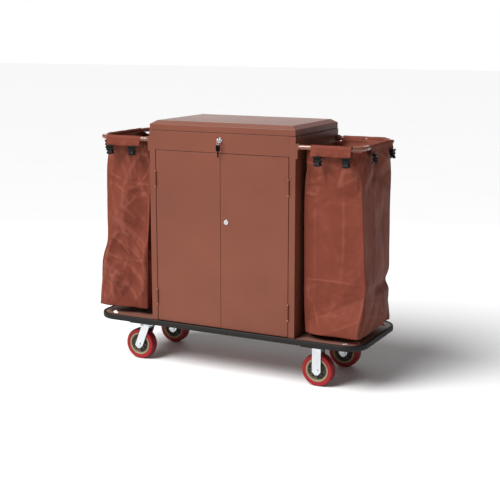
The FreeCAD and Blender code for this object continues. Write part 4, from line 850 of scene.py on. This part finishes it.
def flap(side, outward, along, distance, first, long, drop, skew, seed):
    """outward and along are unit directions. The tube's axis is `distance` out, and the flap runs
    along it from `first`. `skew` is how much lower its far end hangs."""
    rng = np.random.default_rng(seed)
    radius = TUBE + FLAP_GAP
    over = math.pi * radius
    path = np.linspace(0, FLAP_INSIDE + over + drop, 52)[:, None]
    run = np.linspace(0, 1, int(long / FLAP_STEP))[None]
    turn = np.clip((path - FLAP_INSIDE) / radius, 0, math.pi)
    hang = np.clip((path - FLAP_INSIDE - over) / drop, 0, 1)
    phase = rng.uniform(0, 6.28, 4)
    ripple = (np.sin(run * long / 0.021 + phase[0]) + 0.8 * np.sin(run * long / 0.037 + phase[1])
              + 0.5 * np.sin(run * long / 0.0125 + phase[2]))
    puckers = np.abs(np.sin(run * long / 0.029 + phase[3])) * np.sin(turn)
    lift = (radius * np.sin(turn) - np.clip(FLAP_INSIDE - path, 0, None)
            - np.clip(path - FLAP_INSIDE - over, 0, None))
    lift = (lift + 0.9 * MM * puckers - hang * (run - 0.5) * skew
            - hang ** 2 * np.abs(ripple) * 0.7 * MM)
    edge_in = (run - 0.5) * long * (1 - 0.012 * hang + 0.004 * np.sin(path / 0.011))
    lumps = crumple(rng, run * long, path + np.zeros(run.shape), 0.05, 0.09)
    hem = 1 / (1 + np.exp(-(path - path[-1] + HEM) / (0.8 * MM)))
    stitch = np.exp(-((path - path[-1] + STITCHES) / (1.3 * MM)) ** 2)
    out = -radius * np.cos(turn) + hang * 2.2 * MM + hang ** 1.5 * ripple * 1.1 * MM
    out = out + np.clip(lumps, -0.6 * MM, None) * (0.35 + 0.65 * hang)
    out = out + hem * 0.9 * MM - stitch * (0.6 + 0.4 * np.sin(run * long / STITCH)) * 0.5 * MM
    middle = along * (first + long / 2) + outward * distance + UP * TUBE_Z
    points = (middle + along * edge_in[..., None] + outward * out[..., None]
              + UP * lift[..., None])
    faces = grid_faces(len(path), run.size, round_columns=False)
    if np.cross(along, outward)[2] < 0:
        faces = faces[:, ::-1]
    # painted light and shade: lighter on the ripples' crests, darker in their troughs and along the
    # stitches
    wear_and_shade = np.clip(0.5 + 0.12 * hang * ripple - 0.3 * stitch, 0, 1)
    return points * np.array([side, 1, 1]), faces[:, ::side], grid_uv(run[0] * long, path[:, 0]), wear_and_shade


RIGHTWARDS, BACKWARDS, UP = np.eye(3)
FLAP_SIDES = [(-BACKWARDS, RIGHTWARDS, TUBE_Y), (RIGHTWARDS, BACKWARDS, TUBE_END),
              (BACKWARDS, RIGHTWARDS, TUBE_Y)]  # outward, along, distance: front, end and rear
FLAP_PLACES = {  # in millimetres: first edge, length, drop and skew, then the seed
    "right": [(440, 186, 34, 3, 3), (-120, 268, 34, -6, 4), (405, 205, 40, 0, 5)],
    "left": [(422, 184, 34, 4, 6), (-136, 272, 36, 3, 7), (405, 205, 40, 0, 8)],
}
for word, side in (("right", 1), ("left", -1)):
    for number, (*sizes, seed) in enumerate(FLAP_PLACES[word]):
        *strip, strip_wear_and_shade = flap(side, *FLAP_SIDES[number], *np.array(sizes) * MM, seed)
        thicken(add_piece(f"{word}_bag_flap_{number + 1}", *strip, "bag_cloth", "root",
                          wear_and_shade=strip_wear_and_shade), CLOTH)
print("flaps", sum(len(v) for v in FLAP_PLACES.values()))

# %% [markdown]
# ## Clips
# Spring clips bite the lower edge of each flap. Each is two moulded levers that cross like a
# clothes peg, with a coil between them. A lever is a lofted bar, wide at the jaw and at the finger
# pad and narrow at the pivot.
# %% Find where the clips go
def islands(node):
    """Low and high corners of a node's separate solids: corners that share a triangle share a
    number, and the lowest number spreads until nothing changes."""
    points, faces = loose_triangles(node)
    label = np.arange(len(points))
    while True:
        spread = label.copy()
        np.minimum.at(spread, faces.ravel(), np.repeat(label[faces].min(axis=1), 3))
        if (spread == label).all():
            break
        label = spread
    return [(points[label == n].min(axis=0), points[label == n].max(axis=0)) for n in np.unique(label)]


def bar_loft(middle, across, outward, height, half_width, offset, half_depth):
    """A rounded bar: rows go down its height, columns go round its section, ends are closed."""
    turn = np.linspace(0, 2 * math.pi, 20, endpoint=False)
    wide = np.sign(np.cos(turn)) * np.abs(np.cos(turn)) ** 0.5
    deep = np.sign(np.sin(turn)) * np.abs(np.sin(turn)) ** 0.5
    points = (middle + across * (wide[None] * half_width[:, None])[..., None]
              + outward * (deep[None] * half_depth[:, None] + offset[:, None])[..., None]
              + UP * height[:, None, None])
    faces = grid_faces(len(height), 20).tolist()
    faces += [list(range(19, -1, -1)), list(range((len(height) - 1) * 20, len(height) * 20))]
    uv = grid_uv(turn * 10 * MM, height)
    return points, faces, uv


CLIP_WIDE, CLIP_TALL, CLIP_DEEP = 46 * MM, 44 * MM, 24 * MM
LEVER_HALF, COIL_RADIUS, COIL_WIRE = 3.4 * MM, 6 * MM, 0.5 * MM
CLIP_LIFT = {"front": 7 * MM, "end": 15 * MM}  # the hems are bitten this far above the plain blocks
PAIR_FROM, PAIR_TO, PAIR_SPREAD = 517.5 * MM, 544 * MM, 1.1  # the right bag's front pair moves out


def clip_parts(low, high):
    """Two crossing levers and a coil where one clip block is."""
    size = high - low
    at_end = size[0] < size[1]
    outward = RIGHTWARDS * np.sign(low[0]) if at_end else BACKWARDS * np.sign(low[1])
    middle = (low + high) / 2 + outward * (CLIP_DEEP - np.abs(size @ outward)) / 2
    middle[2] += CLIP_LIFT["end" if at_end else "front"]
    if low[0] > 0 and not at_end:
        middle[0] = PAIR_TO + (middle[0] - PAIR_FROM) * PAIR_SPREAD
    across = np.cross(UP, outward)
    part = np.linspace(1, -1, 25)
    height = part * CLIP_TALL / 2
    rounding = np.sqrt(np.clip(1 - np.abs(part) ** 6, 0.02, 1))
    half_width = CLIP_WIDE / 2 * (0.42 + 0.58 * np.abs(part) ** 0.9) * rounding
    levers = [bar_loft(middle, across, outward, height, half_width * scale,
                       lean * part * CLIP_DEEP * 0.34, LEVER_HALF * rounding)
              for lean, scale in ((1, 1.0), (-1, 0.86))]
    along = np.linspace(-0.4, 0.4, 30) * CLIP_WIDE
    rings = COIL_RADIUS + COIL_WIRE * np.sin(along / (0.35 * MM))
    turn = np.linspace(0, 2 * math.pi, 16, endpoint=False)
    coil = (middle + across * along[:, None, None] + outward * (rings[:, None] * np.cos(turn))[..., None]
            + UP * (rings[:, None] * np.sin(turn))[..., None])
    faces = grid_faces(len(along), 16)[:, ::-1].tolist()
    faces += [list(range(16)), list(range(len(along) * 16 - 1, (len(along) - 1) * 16 - 1, -1))]
    uv = grid_uv(turn * 3 * MM, along)
    return levers + [(coil, faces, uv)]


for word in ("left", "right"):
    blocks = islands(f"{word}_bag_clips")
    parts = [part for block in blocks for part in clip_parts(*block)]
    add_piece(f"{word}_clips_moulded", *gathered(parts), "black_plastic", "root",
              [f"{word}_bag_clips"])
    print(word, "clips", len(blocks))

# %% [markdown]
# ## Studio
# As in a catalogue: a pale floor that melts into a white background. The world is white to the
# camera and dim to everything else, so the sides that look right fall into shade. The key light
# is a wide-angled sun lamp, which lights the floor evenly to the horizon with soft shadows. A
# softbox in front adds sheen to the doors, and one behind brightens the top of the lid.
# %% Floor and world
FLOOR_REACH = 40.0
FILL, BACKGROUND = 0.17, 1.0
floor_mesh = bpy.data.meshes.new("studio_floor")
floor_mesh.from_pydata([(x * FLOOR_REACH, y * FLOOR_REACH, 0)
                        for x, y in ((-1, -1), (1, -1), (1, 1), (-1, 1))], [], [(0, 1, 2, 3)])
studio_floor = show("studio_floor", floor_mesh)
floor_mesh.materials.append(finish("pale_studio_floor", ("#f6f6f6", "#f3f3f3"), patch=900, grain=8,
                                   depth=0.02, rough=(0.7, 0.85))["material"])

scene = bpy.context.scene
scene.world = bpy.data.worlds.new("studio")
scene.world.use_nodes = True
sky = scene.world.node_tree
sky.nodes.clear()
seen = add_node(sky, "LightPath").outputs["Is Camera Ray"]
level = add_node(sky, "MapRange", {"Value": seen, "To Min": FILL, "To Max": BACKGROUND})
light = add_node(sky, "Background", {"Color": (1, 1, 1, 1), "Strength": level.outputs[0]})
add_node(sky, "OutputWorld", {"Surface": light.outputs[0]})
print("floor", 2 * FLOOR_REACH, "m wide")


# %% Lamps
def add_light(name, kind, energy, toward, place=(0, 0, 0), **settings):
    """A lamp whose light travels along a direction. A sun's place makes no difference."""
    data = bpy.data.lights.new(name, kind)
    data.energy = energy
    for key, value in settings.items():
        setattr(data, key, value)
    lamp = show(name, data)
    lamp.rotation_euler = Vector(toward).to_track_quat("-Z", "Y").to_euler()
    lamp.location = place
    return lamp


add_light("key", "SUN", 3.9, (0.40, 0.62, -0.85), angle=math.radians(40))
add_light("front_softbox", "AREA", 48, (0.35, 0.75, -0.5), (-1.1, -3.0, 3.0), shape="DISK", size=1.6)
back = add_light("back_softbox", "AREA", 24, (0.42, -0.9, -0.12), (-1.5, 3.4, 1.75),
                 shape="RECTANGLE", size=3.4, size_y=1.8)
back.visible_camera = False

# %% [markdown]
# The camera looks slightly down from the right through a long lens. It looks along its own -Z
# with +Y up, so the direction of view is turned into a rotation.
# %% Camera
CAMERA_TURN, CAMERA_RISE = math.radians(27.014), math.radians(11.4355)
camera = show("camera", bpy.data.cameras.new("camera"))
camera.data.lens, camera.data.sensor_width = 77.66, 36
camera.location = (2.2983, -4.4528, 1.5658)
ahead = Vector((-math.sin(CAMERA_TURN) * math.cos(CAMERA_RISE),
                math.cos(CAMERA_TURN) * math.cos(CAMERA_RISE), -math.sin(CAMERA_RISE)))
camera.rotation_euler = ahead.to_track_quat("-Z", "Y").to_euler()
camera.data.clip_end = 200
scene.camera = camera
scene.view_settings.view_transform = "Standard"
print("camera", round(camera.location.length, 3), "m from the origin")
